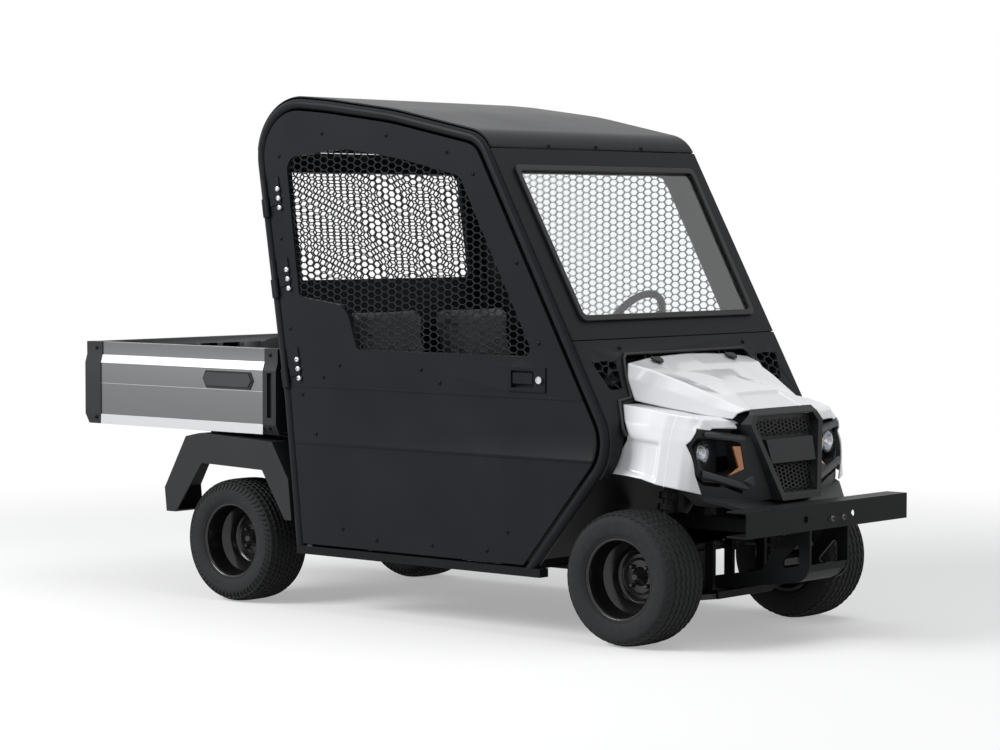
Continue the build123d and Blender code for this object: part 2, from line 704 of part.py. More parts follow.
# ---------------------------------------------------------------- frame and suspension
def chassis_frame():
    """Two kicked-up rails with cross members, outriggers, sills and the bed's pivot holes."""
    line = [
        (-465, REAR_RAIL_Z), (190, REAR_RAIL_Z), (330, MID_RAIL_Z), (WHEELBASE - 400, MID_RAIL_Z),
        (WHEELBASE - 250, FRONT_RAIL_Z), (BUMPER_FRONT_X - BUMPER_DEPTH - 3, FRONT_RAIL_Z),
    ]
    rail = ribbon(line, RAIL_HEIGHT)
    frame = Part()
    for side in (-1, 1):
        y, outer = side * RAIL_Y, side * CAB_HALF
        frame += side_solid(rail, y - RAIL_WIDTH / 2, y + RAIL_WIDTH / 2)
        frame += block(395, WHEELBASE - 352, outer - side * SILL_WIDTH, outer, SILL_BOTTOM, SILL_TOP)
        for x in (520, WHEELBASE - 560):
            frame += block(x - 25, x + 25, y, side * (CAB_HALF - 10), SILL_BOTTOM, SILL_TOP - SEAT_GAP)
        frame += block(-55, 15, y, side * 335, OUTRIGGER_TOP_Z - 32, OUTRIGGER_TOP_Z)
    crossings = [
        (-390, REAR_RAIL_Z), (60, REAR_RAIL_Z), (500, MID_RAIL_Z), (WHEELBASE - 540, MID_RAIL_Z),
        (BUMPER_FRONT_X - 158, FRONT_RAIL_Z),
    ]
    for x, z in crossings:
        frame += block(x - 25, x + 25, -RAIL_Y, RAIL_Y, z - 20, z + 20)
    bore = rod((BED_PIVOT_X, -400, BED_PIVOT_Z), (BED_PIVOT_X, 400, BED_PIVOT_Z), BED_PIN_R + BEARING_GAP)
    return frame - bore


def rear_axle():
    """Live rear axle: differential housing, tubes and spindles."""
    hub = HALF_TRACK - 130
    axle = rod((0, -hub, TYRE_R), (0, hub, TYRE_R), AXLE_TUBE_R)
    axle += Pos(0, 0, TYRE_R) * Rot(90, 0, 0) * Cylinder(100, 150)
    return axle + rod((0, -HALF_TRACK - HUB_DEPTH, TYRE_R), (0, HALF_TRACK + HUB_DEPTH, TYRE_R), SPINDLE_R)


def coil_strut(foot, head, spring_r, turns):
    """Telescopic damper with a ribbed sleeve in the place of its coil spring."""
    a, b = Vector(foot), Vector(head)
    strut = Plane(origin=a, z_dir=b - a)
    length = (b - a).length
    body = extrude(strut * RegularPolygon(spring_r * 0.45, STRUT_SIDES), amount=length)
    pitch = length * 0.62 / turns
    for i in range(turns):
        rib = extrude(RegularPolygon(spring_r, STRUT_SIDES), amount=pitch * 0.55)
        body += strut * Pos(0, 0, length * 0.32 + pitch * i) * rib
    return body


def rear_suspension():
    """Trailing arms and coil-over dampers on both sides."""
    group = Part()
    for side in (-1, 1):
        y = side * STRUT_Y
        under = TYRE_R - AXLE_TUBE_R - 15 - SEAT_GAP
        arm = side_solid(ribbon([(-45, under), (45, under), (493, MID_RAIL_Z + 8)], 30), y - 15, y + 15)
        foot = (0, y, TYRE_R + AXLE_TUBE_R + SEAT_GAP)
        group += arm + coil_strut(foot, (-20, y, OUTRIGGER_TOP_Z - 32 - 4), 34, 4)
    return group


def front_suspension():
    """Lower arms with their kingpins, and coil-over struts, on both sides."""
    group = Part()
    for side in (-1, 1):
        y = side * KINGPIN_Y
        inner = side * (RAIL_Y - 40 + SEAT_GAP)
        arm = polygon(
            (WHEELBASE - 24, y + side * 16), (WHEELBASE + 24, y + side * 16), (WHEELBASE + 110, inner),
            (WHEELBASE - 110, inner),
        )
        low, high = TYRE_R - 80, TYRE_R + 80
        group += plan_solid(arm, low - 26, low - MOVING_GAP)
        group += rod((WHEELBASE, y, low - 20), (WHEELBASE, y, high + MOVING_GAP + 5), KINGPIN_R)
        seat = high + MOVING_GAP
        group += block(WHEELBASE - 24, WHEELBASE + 24, y - 16, y + 16, seat, seat + 20)
        head = (WHEELBASE - 10, side * STRUT_Y, tray_z(WHEELBASE - 10) - TRAY_THICK / 2 - 6)
        group += coil_strut((WHEELBASE, y, seat + 10), head, 32, 4)
    return group


def front_crossmember():
    """Lower cross member that carries the front arms, hung from the rails on plates."""
    low = MEMBER_TOP_Z - MEMBER_THICK
    member = block(WHEELBASE - 120, WHEELBASE + 120, 40 - RAIL_Y, RAIL_Y - 40, low, MEMBER_TOP_Z)
    for side in (-1, 1):
        inner = side * (RAIL_Y - 60)
        for x in (WHEELBASE - 75, WHEELBASE + 75):
            member += block(x - 20, x + 20, inner, side * (RAIL_Y - 40), MEMBER_TOP_Z - 14, FRONT_RAIL_Z)
            rail_face = side * (RAIL_Y - RAIL_WIDTH / 2 - SEAT_GAP)
            member += block(x - 20, x + 20, inner, rail_face, FRONT_RAIL_Z - 20, FRONT_RAIL_Z + 20)
    return member


def steering_rack():
    """Rack housing clamped to the cross member."""
    x, z = WHEELBASE - STEER_ARM, RACK_Z
    half = 150.0
    housing = rod((x, -half, z), (x, half, z), 24)
    housing += block(x - 14, x + 14, -90, 90, MEMBER_TOP_Z, z)
    return housing - rod((x, -half - 1, z), (x, half + 1, z), RACK_R + BEARING_GAP)


def tie_rods():
    """Sliding rack bar with a tie rod and eye at each end, above the steering arms."""
    x, z = WHEELBASE - STEER_ARM, RACK_Z
    reach = KINGPIN_Y - 20
    bar = rod((x, -reach, z), (x, reach, z), RACK_R)
    for side in (-1, 1):
        bar += plan_solid(Pos(x, side * reach) * Circle(15), z - 6, z + 6)
    return bar


def engine_block():
    """Engine mass under the bed, as one plain block."""
    half = RAIL_Y - RAIL_WIDTH / 2 - SEAT_GAP
    return block(115, 345, -half, half, 300, 560)


# ---------------------------------------------------------------- front end
def bumper_beam():
    """Open-backed channel with two through holes in its front."""
    back = BUMPER_FRONT_X - BUMPER_DEPTH
    beam = block(back, BUMPER_FRONT_X, -BUMPER_HALF, BUMPER_HALF, BUMPER_BOTTOM_Z, BUMPER_TOP_Z)
    beam -= block(
        back - 1, BUMPER_FRONT_X - BUMPER_WALL, -BUMPER_HALF - 1, BUMPER_HALF + 1,
        BUMPER_BOTTOM_Z + BUMPER_WALL, BUMPER_TOP_Z - BUMPER_WALL,
    )
    for y in (-BUMPER_HOLE_Y, BUMPER_HOLE_Y):
        beam -= rod((back, y, BUMPER_HOLE_Z), (BUMPER_FRONT_X + 1, y, BUMPER_HOLE_Z), BUMPER_HOLE_R)
    return beam


def bumper_brackets():
    """Two toe plates under the bumper with a three-cornered opening, and the skid pan between them."""
    front, top = BUMPER_FRONT_X, BUMPER_BOTTOM_Z - SEAT_GAP
    rear = WHEELBASE + 45
    floor = MEMBER_TOP_Z + SEAT_GAP
    rise = 61.0
    plate = outline([
        (rear, floor, 0), (front, floor + rise, 75), (front, top, 0), (front - 90, top, 0),
        (front - 214, floor + 90, 12), (rear, floor + 48, 0),
    ])
    plate -= outline([
        (front - 46, top - 38, 12), (front - 46, floor + 116, 12), (front - 148, floor + 98, 12),
    ])
    group = Part()
    for side in (-1, 1):
        group += side_solid(plate, side * TOE_HALF, side * (TOE_HALF - TOE_THICK))
    skid = ribbon([
        (rear + 10, floor + 5), (front - 78, floor + 53), (front - 38, floor + 68), (front - 11, floor + 97),
        (front - 4, floor + 122),
    ], TOE_THICK / 2)
    return group + side_solid(skid, TOE_THICK - TOE_HALF, TOE_HALF - TOE_THICK)


# ---------------------------------------------------------------- hood and fenders
def half_sheet(sections, thick):
    """Right half of a creased sheet through (station, outer half section) pairs ahead of the front axle."""
    loops = []
    for station, points in sections:
        corners = ribbon_corners([(-w, z) for w, z in points], thick, 1)
        loops.append([(WHEELBASE + station, y, z) for y, z in corners])
    return faceted(loops, True)


def hood_line(x):
    """Height of the hood's spine at a station ahead of the front axle."""
    return between(HOOD_SECTIONS, x)[0][1]


def hood_plan(gap):
    """Plan of the hood's front end: square in the middle, cut back at its corners."""
    front = HOOD_FRONT_X + gap
    return polygon(
        (WHEELBASE - 300, -600), (WHEELBASE - 300, 600), (front - 150, 600), (front - 34, 250 + gap),
        (front, 192 + gap), (front, -192 - gap), (front - 34, -250 - gap), (front - 150, -600),
    )


def hood():
    """Hood shell with a flat rear plateau, two scoops, bright side bands and turned-down skirts."""
    rows = [(x, [(0, points[0][1]), *points]) for x, *points in HOOD_SECTIONS]
    half = half_sheet(rows, HOOD_THICK)
    shell = half + mirrored(half)
    shell -= side_solid(cab_face(PANEL_OUT + HOOD_REAR_GAP), -CAB_HALF, CAB_HALF)
    shell &= plan_solid(hood_plan(0), 700, 1200)
    near, far = 168.0, 252.0
    shell -= side_solid(polygon(
        (WHEELBASE + near, hood_line(near) - RECESS_DEPTH), (WHEELBASE + far, hood_line(far) - RECESS_DEPTH),
        (WHEELBASE + far, 1100), (WHEELBASE + near, 1100),
    ), -200, 200) & plan_solid(polygon(
        (WHEELBASE + near, -138), (WHEELBASE + near, 138), (WHEELBASE + far, 160), (WHEELBASE + far, -160),
    ), 800, 1100)
    x, z = HOOD_PIVOT_X, HOOD_PIVOT_Z
    for y in (-HOOD_HINGE_Y, HOOD_HINGE_Y):
        shell += block(x, x + 30, y - 12, y + 12, z - 8, z + 1)
        shell += rod((x, y - 12, z), (x, y + 12, z), HOOD_PIVOT_R)
        shell -= rod((x, y - 13, z), (x, y + 13, z), HINGE_PIN_R + BEARING_GAP)
    return shell


def skirt_edge(x):
    """Half width and height of the lower edge of the hood's skirt at a station."""
    return between(HOOD_SECTIONS, x)[-1]


def fender_rows():
    """Stations and outer half sections of the fender, from its shoulder down."""
    return [
        (x, shoulder, crease, step, (step[0] + (step[1] - low) * FENDER_FLARE, low))
        for x, shoulder, crease, step, low in FENDER_SECTIONS
    ]


def fender():
    """Right front fender: top beside the hood, two creases, a step and a flared lower edge."""
    rows = []
    for x, shoulder, *rest in fender_rows():
        w, z = skirt_edge(x)
        rows.append((x, [(w + SEAM, min(z, shoulder[1]) - 1), shoulder, *rest]))
    shell = half_sheet(rows, FENDER_THICK)
    shell -= side_solid(cab_face(PANEL_OUT + HOOD_REAR_GAP), -CAB_HALF, 0)
    nose_room = polygon((-300, 400), (0, 400), (0, 810), (-230, 810))
    for room in (offset(bezel_face(), SEAM / 2), nose_room):
        shell -= front_solid(room, BEZEL_REAR_X - 4, BEZEL_REAR_X + 200)
    return shell


def tray_z(x):
    """Height of the middle of the sloping tray over the front wheels."""
    return 650 - (x - WHEELBASE + 75) * 60 / 275


def fender_inside(x):
    """Half width between the fenders' inner faces at the tray's upper surface."""
    w, step_z = between(fender_rows(), x)[-2]
    z = tray_z(WHEELBASE + x) + TRAY_THICK * 0.52
    return w + (step_z - z) * FENDER_FLARE - FENDER_THICK * hypot(FENDER_FLARE, 1)


def inner_tray():
    """Tray over the front wheels that carries the fenders, the nose and the struts' heads."""
    rear, front = -68.0, BEZEL_REAR_X - WHEELBASE - SEAT_GAP
    line = [(WHEELBASE + x, tray_z(WHEELBASE + x)) for x in (rear, front)]
    edge = [(WHEELBASE + x, -fender_inside(x) + SEAT_GAP) for x in (rear, FENDER_SECTIONS[1][0], front)]
    plan = polygon((WHEELBASE + rear, 0), *edge, (WHEELBASE + front, 0))
    half = side_solid(ribbon(line, TRAY_THICK), -CAB_HALF, 0) & plan_solid(plan, 500, 700)
    rail_top = FRONT_RAIL_Z + RAIL_HEIGHT / 2 + SEAT_GAP
    for x in (WHEELBASE - 40, WHEELBASE + 110):
        half += block(x - 15, x + 15, -RAIL_Y - 18, -RAIL_Y + 18, rail_top, tray_z(x))
    return half + mirrored(half)


def nose_half():
    """Corners of the grille frame's right half, from the top down."""
    return [(196, 862), (GRILLE_TOP_HALF, GRILLE_TOP_Z), (233, 808), (GRILLE_BOTTOM_HALF, GRILLE_BOTTOM_Z)]


def bezel_face():
    """Front view of the right lamp bezel with its chin."""
    return polygon(
        (-120, 530), (-120, 620), (-205, 760), (-238, 768), (-450, 799), (-490, 744), (-476, 668),
        (-472, 634), (-444, 563), (-360, 510),
    )


def bezel_plan():
    """Plan of the right bezel: swept back from the grille to its outer tip."""
    rear = BEZEL_REAR_X
    return polygon(
        (rear + 180, -120), (rear + 135, -238), (rear + 114, -345), (rear + 72, -448), (rear + 20, -490),
        (rear, -490), (rear, -290), (rear + 60, -280), (rear + 60, -120),
    )


def lamp_pocket():
    """Front view of the pocket round the right headlamp."""
    return polygon(
        (-262, 742), (-300, 752), (-448, 768), (-462, 738), (-452, 690), (-418, 641), (-335, 619),
        (-240, 645),
    )


def grille_x(z, back=0.0):
    """X of the grille's leaning front plane at a height, moved back by a distance."""
    return GRILLE_TOP_X + GRILLE_LEAN * (GRILLE_TOP_Z - z) - back


def leaning(low, high, back_from, back_to):
    """Slab between two depths behind the grille's front plane and two heights."""
    return side_solid(polygon(
        (grille_x(high, back_from), high), (grille_x(low, back_from), low), (grille_x(low, back_to), low),
        (grille_x(high, back_to), high),
    ), -400, 400)


def front_fascia():
    """Nose moulding: leaning grille frame with two meshes and a blank bar, and a lamp bezel each side."""
    half = nose_half()
    front_view = polygon(*half, *[(-y, z) for y, z in reversed(half)])
    nose = front_solid(front_view, NOSE_REAR_X, BUMPER_FRONT_X)
    low, high = GRILLE_BOTTOM_Z - 1, HOOD_SECTIONS[-1][-1][1] - 4
    nose &= side_solid(polygon(
        (NOSE_REAR_X, high), (NOSE_REAR_X, 862), (GRILLE_TOP_X - 22, 862),
        (grille_x(GRILLE_TOP_Z), GRILLE_TOP_Z), (grille_x(low), low), (NOSE_REAR_X + 35, low),
    ), -400, 400)
    nose -= plan_solid(hood_plan(HOOD_GAP), high, 900)
    rim = offset(front_view, -GRILLE_FRAME, kind=Kind.INTERSECTION)
    nose -= front_solid(rim, NOSE_REAR_X, BUMPER_FRONT_X + 20) & leaning(low, 900, -200, GRILLE_DEPTH)
    for window in (
        polygon((-165, 812), (165, 812), (176, 768), (-176, 768)),
        polygon((-135, 655), (135, 655), (98, 560), (-98, 560)),
    ):
        holes = window - hex_mesh(window, VENT_PITCH_Y, VENT_PITCH_Z - 4, VENT_BAR + 2)
        nose -= front_solid(holes, NOSE_REAR_X, BUMPER_FRONT_X + 20)
    plate = polygon((-150, 749), (150, 749), (141, 662), (-141, 662))
    nose += front_solid(plate, NOSE_REAR_X + 35, BUMPER_FRONT_X) & leaning(650, 760, 4, GRILLE_DEPTH + 20)
    bezel = front_solid(bezel_face(), BEZEL_REAR_X, BUMPER_FRONT_X) & plan_solid(bezel_plan(), 400, 900)
    bezel -= front_solid(lamp_pocket(), LAMP_BACK_X, BUMPER_FRONT_X)
    chin = ribbon([(-480, 648), (-425, 600), (-330, 588), (-250, 560)], 14)
    bezel -= front_solid(chin, BEZEL_REAR_X + 50, BUMPER_FRONT_X)
    rear = BEZEL_REAR_X
    valance = side_solid(polygon((rear + 55, 556), (rear + 65, 567), (rear + 195, 506), (rear + 188, 495)), -440, 440)
    valance &= plan_solid(polygon(
        (rear, -440), (rear + 95, -440), (rear + 190, -330), (rear + 190, 330), (rear + 95, 440), (rear, 440),
    ), 400, 700)
    return nose + bezel + mirrored(bezel) + valance


def headlamps():
    """Round projector lamps at the back of the bezel pockets."""
    lamp = front_solid(Pos(-LAMP_Y, LAMP_Z) * Circle(LAMP_R), LAMP_BACK_X + SEAT_GAP, LAMP_BACK_X + 30)
    return lamp + mirrored(lamp)


def turn_signals():
    """Amber chevrons on the inner side of the bezel pockets."""
    strip = ribbon([(-270, 728), (-256, 656), (-334, 630)], 16)
    mark = front_solid(strip, LAMP_BACK_X + SEAT_GAP, LAMP_BACK_X + 70)
    return mark + mirrored(mark)


def rear_fender():
    """Right rear fender flare: skin over the wheel with an arch cut in its face."""
    behind = TUBE_R + MOVING_GAP
    flare = polygon(
        (-363, 448), (-237, 666), (-160, 682), (258, 666), (foot_x(520) - behind, 520),
        (foot_x(358) - behind, 358), (-352, 350),
    )
    inner = offset(flare, -7, kind=Kind.INTERSECTION)
    body = side_solid(flare, -CAB_HALF - 2, -450) - side_solid(inner, -CAB_HALF + 6, -440)
    arch = polygon((-298, 340), (-298, 352), (-143, 560), (202, 550), (330, 356), (330, 340))
    body -= side_solid(arch, -CAB_HALF - 10, -440)
    reach = RAIL_Y + RAIL_WIDTH / 2 + SEAT_GAP
    body += block(-50, 10, -470, -reach, OUTRIGGER_TOP_Z + SEAT_GAP, OUTRIGGER_TOP_Z + 12)
    return body + block(-50, 10, -470, -455, OUTRIGGER_TOP_Z + SEAT_GAP, 672)


# ---------------------------------------------------------------- bed
def bed_profile(grow):
    """Cross-section of the right bed wall: rolled top band, flat face with a groove, tucked bottom."""
    y = -BED_HALF
    inner = y + BED_WALL
    z0, z1 = BED_BOTTOM_Z, BED_TOP_Z
    return polygon(
        (inner, z1), (y + 11 - grow, z1), (y + 11 - grow, z1 - 55), (y - grow, z1 - 89), (y - grow, z0 + 42),
        (y + 22 - grow, z0), (inner, z0),
    )


def bed_side():
    """Right bed wall between its end caps."""
    return front_solid(bed_profile(0), BED_REAR_X + BED_CAP_REAR, BED_FRONT_X - BED_CAP_FRONT)


def gate_pin(inner, radius):
    """Round bar on the tailgate's hinge axis, on the right side."""
    x, z = BED_REAR_X + GATE_PIVOT, BED_FLOOR_Z - BED_FLOOR_THICK + GATE_PIVOT
    return rod((x, -inner, z), (x, -BED_HALF + BED_WALL - 20, z), radius)


def bed_end_caps():
    """Moulded corner posts of the bed."""
    rear = front_solid(bed_profile(4), BED_REAR_X, BED_REAR_X + BED_CAP_REAR)
    front = front_solid(bed_profile(4), BED_FRONT_X - BED_CAP_FRONT, BED_FRONT_X)
    front -= block(BED_FRONT_X - 50, BED_FRONT_X - 24, -BED_HALF - 20, -BED_HALF + 12, 760, 940)
    rear -= gate_pin(BED_HALF - BED_WALL - 1, GATE_PIN_R + BEARING_GAP)
    return rear + front + mirrored(rear) + mirrored(front)


def bed_floor():
    """Bed floor and headboard with the under-rails that carry the tipping pivot."""
    half = BED_HALF - BED_WALL
    rear = BED_REAR_X + TAILGATE_THICK + 9
    under = BED_FLOOR_Z - BED_FLOOR_THICK
    floor = block(rear, BED_FRONT_X, -half, half, under, BED_FLOOR_Z)
    floor += block(BED_FRONT_X - 32, BED_FRONT_X, -half, half, BED_FLOOR_Z, BED_TOP_Z)
    for side in (-1, 1):
        inner = side * (RAIL_Y + RAIL_WIDTH / 2 + MOVING_GAP)
        outer = inner + side * 30
        floor += block(BED_PIVOT_X - 40, BED_FRONT_X - 20, inner, outer, under - 34, under)
        ear = outline([
            (BED_PIVOT_X - 22, BED_PIVOT_Z - 22, 20), (BED_PIVOT_X + 22, BED_PIVOT_Z - 22, 20),
            (BED_PIVOT_X + 60, under, 0), (BED_PIVOT_X - 40, under, 0),
        ])
        floor += side_solid(ear, inner, outer)
        start = (BED_PIVOT_X, side * (RAIL_Y - RAIL_WIDTH / 2 + 2), BED_PIVOT_Z)
        floor += rod(start, (BED_PIVOT_X, side * (RAIL_Y + 40), BED_PIVOT_Z), BED_PIN_R)
    return floor


def tailgate():
    """Tailgate between the rear posts, ribbed on its inner face and hinged at its bottom."""
    half = BED_HALF - BED_WALL - MOVING_GAP
    low = BED_FLOOR_Z - BED_FLOOR_THICK
    skin, back = BED_REAR_X + TAILGATE_THICK - 10, BED_REAR_X + TAILGATE_THICK
    gate = block(BED_REAR_X, skin, -half, half, low, BED_TOP_Z)
    count = 9
    for i in range(count):
        y = -half + 40 + (2 * half - 80) * i / (count - 1)
        gate += block(skin, back, y - 14, y + 14, low + 20, BED_TOP_Z - 30)
    pin = gate_pin(half - 10, GATE_PIN_R)
    return gate + pin + mirrored(pin)


# ---------------------------------------------------------------- inside the cab
def seat_box():
    """Moulded seat base over the floor."""
    return block(470, 1040, 90 - CAB_HALF, CAB_HALF - 90, SILL_TOP + FLOOR_THICK + SEAT_GAP, SEAT_BOX_Z)


def seat_cushion():
    """Bench cushion, plain."""
    half = CAB_HALF - 105
    return chamfer(block(500, 1060, -half, half, SEAT_BOX_Z + SEAT_GAP, SEAT_TOP_Z).edges(), 20)


def seat_back():
    """Right back rest, plain, leaning with the rear wall and standing on the cushion."""
    pad = outline([(0, 0, 40), (90, 0, 40), (90, 450, 45), (0, 450, 45)])
    back = Rot(0, -10, 0) * side_solid(pad, -SEAT_Y - 200, -SEAT_Y + 200)
    return Pos(540, 0, SEAT_TOP_Z + SEAT_GAP - back.bounding_box().min.Z) * back


def steer_plane(reach):
    """Plane across the steering column, a distance beyond its upper end."""
    axis = (Vector(STEER_HUB) - Vector(STEER_FOOT)).normalized()
    return Plane(origin=Vector(STEER_HUB) + axis * reach, x_dir=(0, 1, 0), z_dir=axis)


def dashboard():
    """Dash moulding behind the windscreen with the steering column under it."""
    front, rear = WHEELBASE - 100, WHEELBASE - 440
    profile = polygon(
        (rear, 985), (rear + 15, 1075), (rear + 140, 1085), (front, 1070), (front, 800), (rear + 80, 800),
    )
    inner_skin = cab_face(PANEL_OUT - PANEL_THICK - SEAT_GAP)
    near_seam = Pos(WHEELBASE - 200, COWL_SEAM_Z) * Rectangle(600, 100)
    bar_room = (inner_skin - cab_face(-CROSSBAR - 2)) & near_seam
    half = CAB_HALF - 60
    dash = side_solid((profile & inner_skin) - bar_room, -half, half)
    column = rod(STEER_FOOT, STEER_HUB, 26)
    column -= steer_plane(-STEER_SHAFT) * extrude(Circle(STEER_SHAFT_R + BEARING_GAP), amount=STEER_SHAFT + 1)
    return dash + column


def steering_wheel():
    """Three-spoke steering wheel on its shaft."""
    bevel = STEER_RIM_R * 0.45
    outer, inner = STEER_WHEEL_R + STEER_RIM_R, STEER_WHEEL_R - STEER_RIM_R
    low, high = 30 - STEER_RIM_R, 30 + STEER_RIM_R
    edge = STEER_RIM_R - bevel
    past, short = STEER_WHEEL_R + bevel, STEER_WHEEL_R - bevel
    rim = turned(RIM_SIDES, (past, low), (outer, low + edge), (outer, high - edge), (past, high))
    rim -= turned(RIM_SIDES, (short, low), (inner, low + edge), (inner, high - edge), (short, high))
    rim = Rot(90, 0, 0) * rim
    wheel = rim + Pos(0, 0, 2) * extrude(RegularPolygon(40, HUB_SIDES), amount=30)
    wheel += Pos(0, 0, 4 - STEER_SHAFT) * extrude(Circle(STEER_SHAFT_R), amount=STEER_SHAFT + 4)
    for angle in (90, 210, 330):
        wheel += Rot(0, 0, angle) * Pos(STEER_WHEEL_R / 2 + 12, 0, 26) * Box(STEER_WHEEL_R - 34, 30, 9)
    return steer_plane(0) * wheel


def main():
    """Write every sub-part."""
    os.makedirs("parts", exist_ok=True)
    write("chassis_frame", chassis_frame())
    write("floor_pan", floor_pan())
    write_pair("cab_hoop", cab_hoop())
    write("cab_crossbars", cab_crossbars())
    write("roof_panel", roof_panel())
    write("windshield_panel", windshield_panel())
    write("windshield_seal", windshield_seal())
    write("windshield_glass", windshield_glass())
    write("cowl_panel", cowl_panel())
    write("cab_rear_panel", cab_rear_panel())
    write("rear_window_mesh", rear_window_mesh())
    write_pair("door", door())
    write_pair("door_mesh", door_mesh())
    write("hood", hood())
    write_pair("front_fender", fender())
    write("front_fascia", front_fascia())
    write("inner_tray", inner_tray())
    write("headlamps", headlamps())
    write("turn_signals", turn_signals())
    write("bumper_beam", bumper_beam())
    write("bumper_brackets", bumper_brackets())
    write("front_crossmember", front_crossmember())
    write("front_suspension", front_suspension())
    write("steering_rack", steering_rack())
    write("tie_rods", tie_rods())
    write_pair("steer_knuckle", steer_knuckle())
    write("rear_axle", rear_axle())
    write("rear_suspension", rear_suspension())
    write("engine_block", engine_block())
    write_pair("rear_fender", rear_fender())
    write("bed_floor", bed_floor())
    write_pair("bed_side", bed_side())
    write("bed_end_caps", bed_end_caps())
    write("tailgate", tailgate())
    write("seat_box", seat_box())
    write("seat_cushion", seat_cushion())
    write_pair("seat_back", seat_back())
    write("dashboard", dashboard())
    write("steering_wheel", steering_wheel())
    rubber, left_rim = tyre(), wheel()
    for name, x in (("front", WHEELBASE), ("rear", 0.0)):
        for side, y, rim in (("right", -HALF_TRACK, mirrored(left_rim)), ("left", HALF_TRACK, left_rim)):
            write(f"tyre_{name}_{side}", Pos(x, y, TYRE_R) * rubber)
            write(f"wheel_{name}_{side}", Pos(x, y, TYRE_R) * rim)


main()
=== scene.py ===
"""Golf utility cart with an enclosed cab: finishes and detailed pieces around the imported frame."""

import json
import math

import bmesh
import bpy
import numpy as np
from bpy.props import FloatProperty, FloatVectorProperty, PointerProperty
from mathutils import Matrix, Vector

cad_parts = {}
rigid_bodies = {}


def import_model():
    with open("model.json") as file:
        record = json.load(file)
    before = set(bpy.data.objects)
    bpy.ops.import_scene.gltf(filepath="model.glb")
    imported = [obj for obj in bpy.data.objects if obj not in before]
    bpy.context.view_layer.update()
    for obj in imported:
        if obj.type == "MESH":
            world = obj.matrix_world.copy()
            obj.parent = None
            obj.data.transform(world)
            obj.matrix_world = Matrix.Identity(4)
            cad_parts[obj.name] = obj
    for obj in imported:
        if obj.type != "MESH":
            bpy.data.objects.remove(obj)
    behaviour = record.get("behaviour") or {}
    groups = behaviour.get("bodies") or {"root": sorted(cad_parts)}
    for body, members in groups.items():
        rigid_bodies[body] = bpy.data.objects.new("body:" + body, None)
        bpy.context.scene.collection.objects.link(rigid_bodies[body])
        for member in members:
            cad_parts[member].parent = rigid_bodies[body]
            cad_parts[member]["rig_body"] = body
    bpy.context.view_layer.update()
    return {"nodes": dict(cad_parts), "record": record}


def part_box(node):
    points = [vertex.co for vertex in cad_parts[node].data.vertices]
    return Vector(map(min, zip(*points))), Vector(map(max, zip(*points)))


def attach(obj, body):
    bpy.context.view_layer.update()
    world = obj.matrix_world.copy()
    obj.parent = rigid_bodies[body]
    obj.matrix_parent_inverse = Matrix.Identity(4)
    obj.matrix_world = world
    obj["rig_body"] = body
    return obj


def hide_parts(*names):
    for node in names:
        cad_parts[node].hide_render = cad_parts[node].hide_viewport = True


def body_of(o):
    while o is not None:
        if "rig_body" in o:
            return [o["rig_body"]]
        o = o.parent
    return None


bl_info = {
    "name": "Golf utility cart",
    "version": (1, 0, 0),
    "blender": (4, 5, 0),
    "location": "View3D > Sidebar > Cart",
    "description": "Finishes and detailed pieces of an enclosed utility cart",
    "category": "Object",
}

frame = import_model()
NODES = frame["nodes"]


# ---------------------------------------------------------------- shader helpers
class Socket:
    """One output of a shader node. Arithmetic on it adds Math nodes."""

    def __init__(self, finish, value):
        self.finish = finish
        self.value = value

    def _math(self, operation, first, second, clamp=False):
        """A Math node on two values."""
        return self.finish.node("ShaderNodeMath", {"operation": operation, "use_clamp": clamp}, first, second)

    def __add__(self, other):
        return self._math("ADD", self, other)

    def __sub__(self, other):
        return self._math("SUBTRACT", self, other)

    def __rsub__(self, other):
        return self._math("SUBTRACT", other, self)

    def __mul__(self, other):
        return self._math("MULTIPLY", self, other)

    def __truediv__(self, other):
        return self._math("DIVIDE", self, other)

    __radd__, __rmul__ = __add__, __mul__

    def clamped(self):
        """The value kept between 0 and 1."""
        return self._math("ADD", self, 0.0, clamp=True)


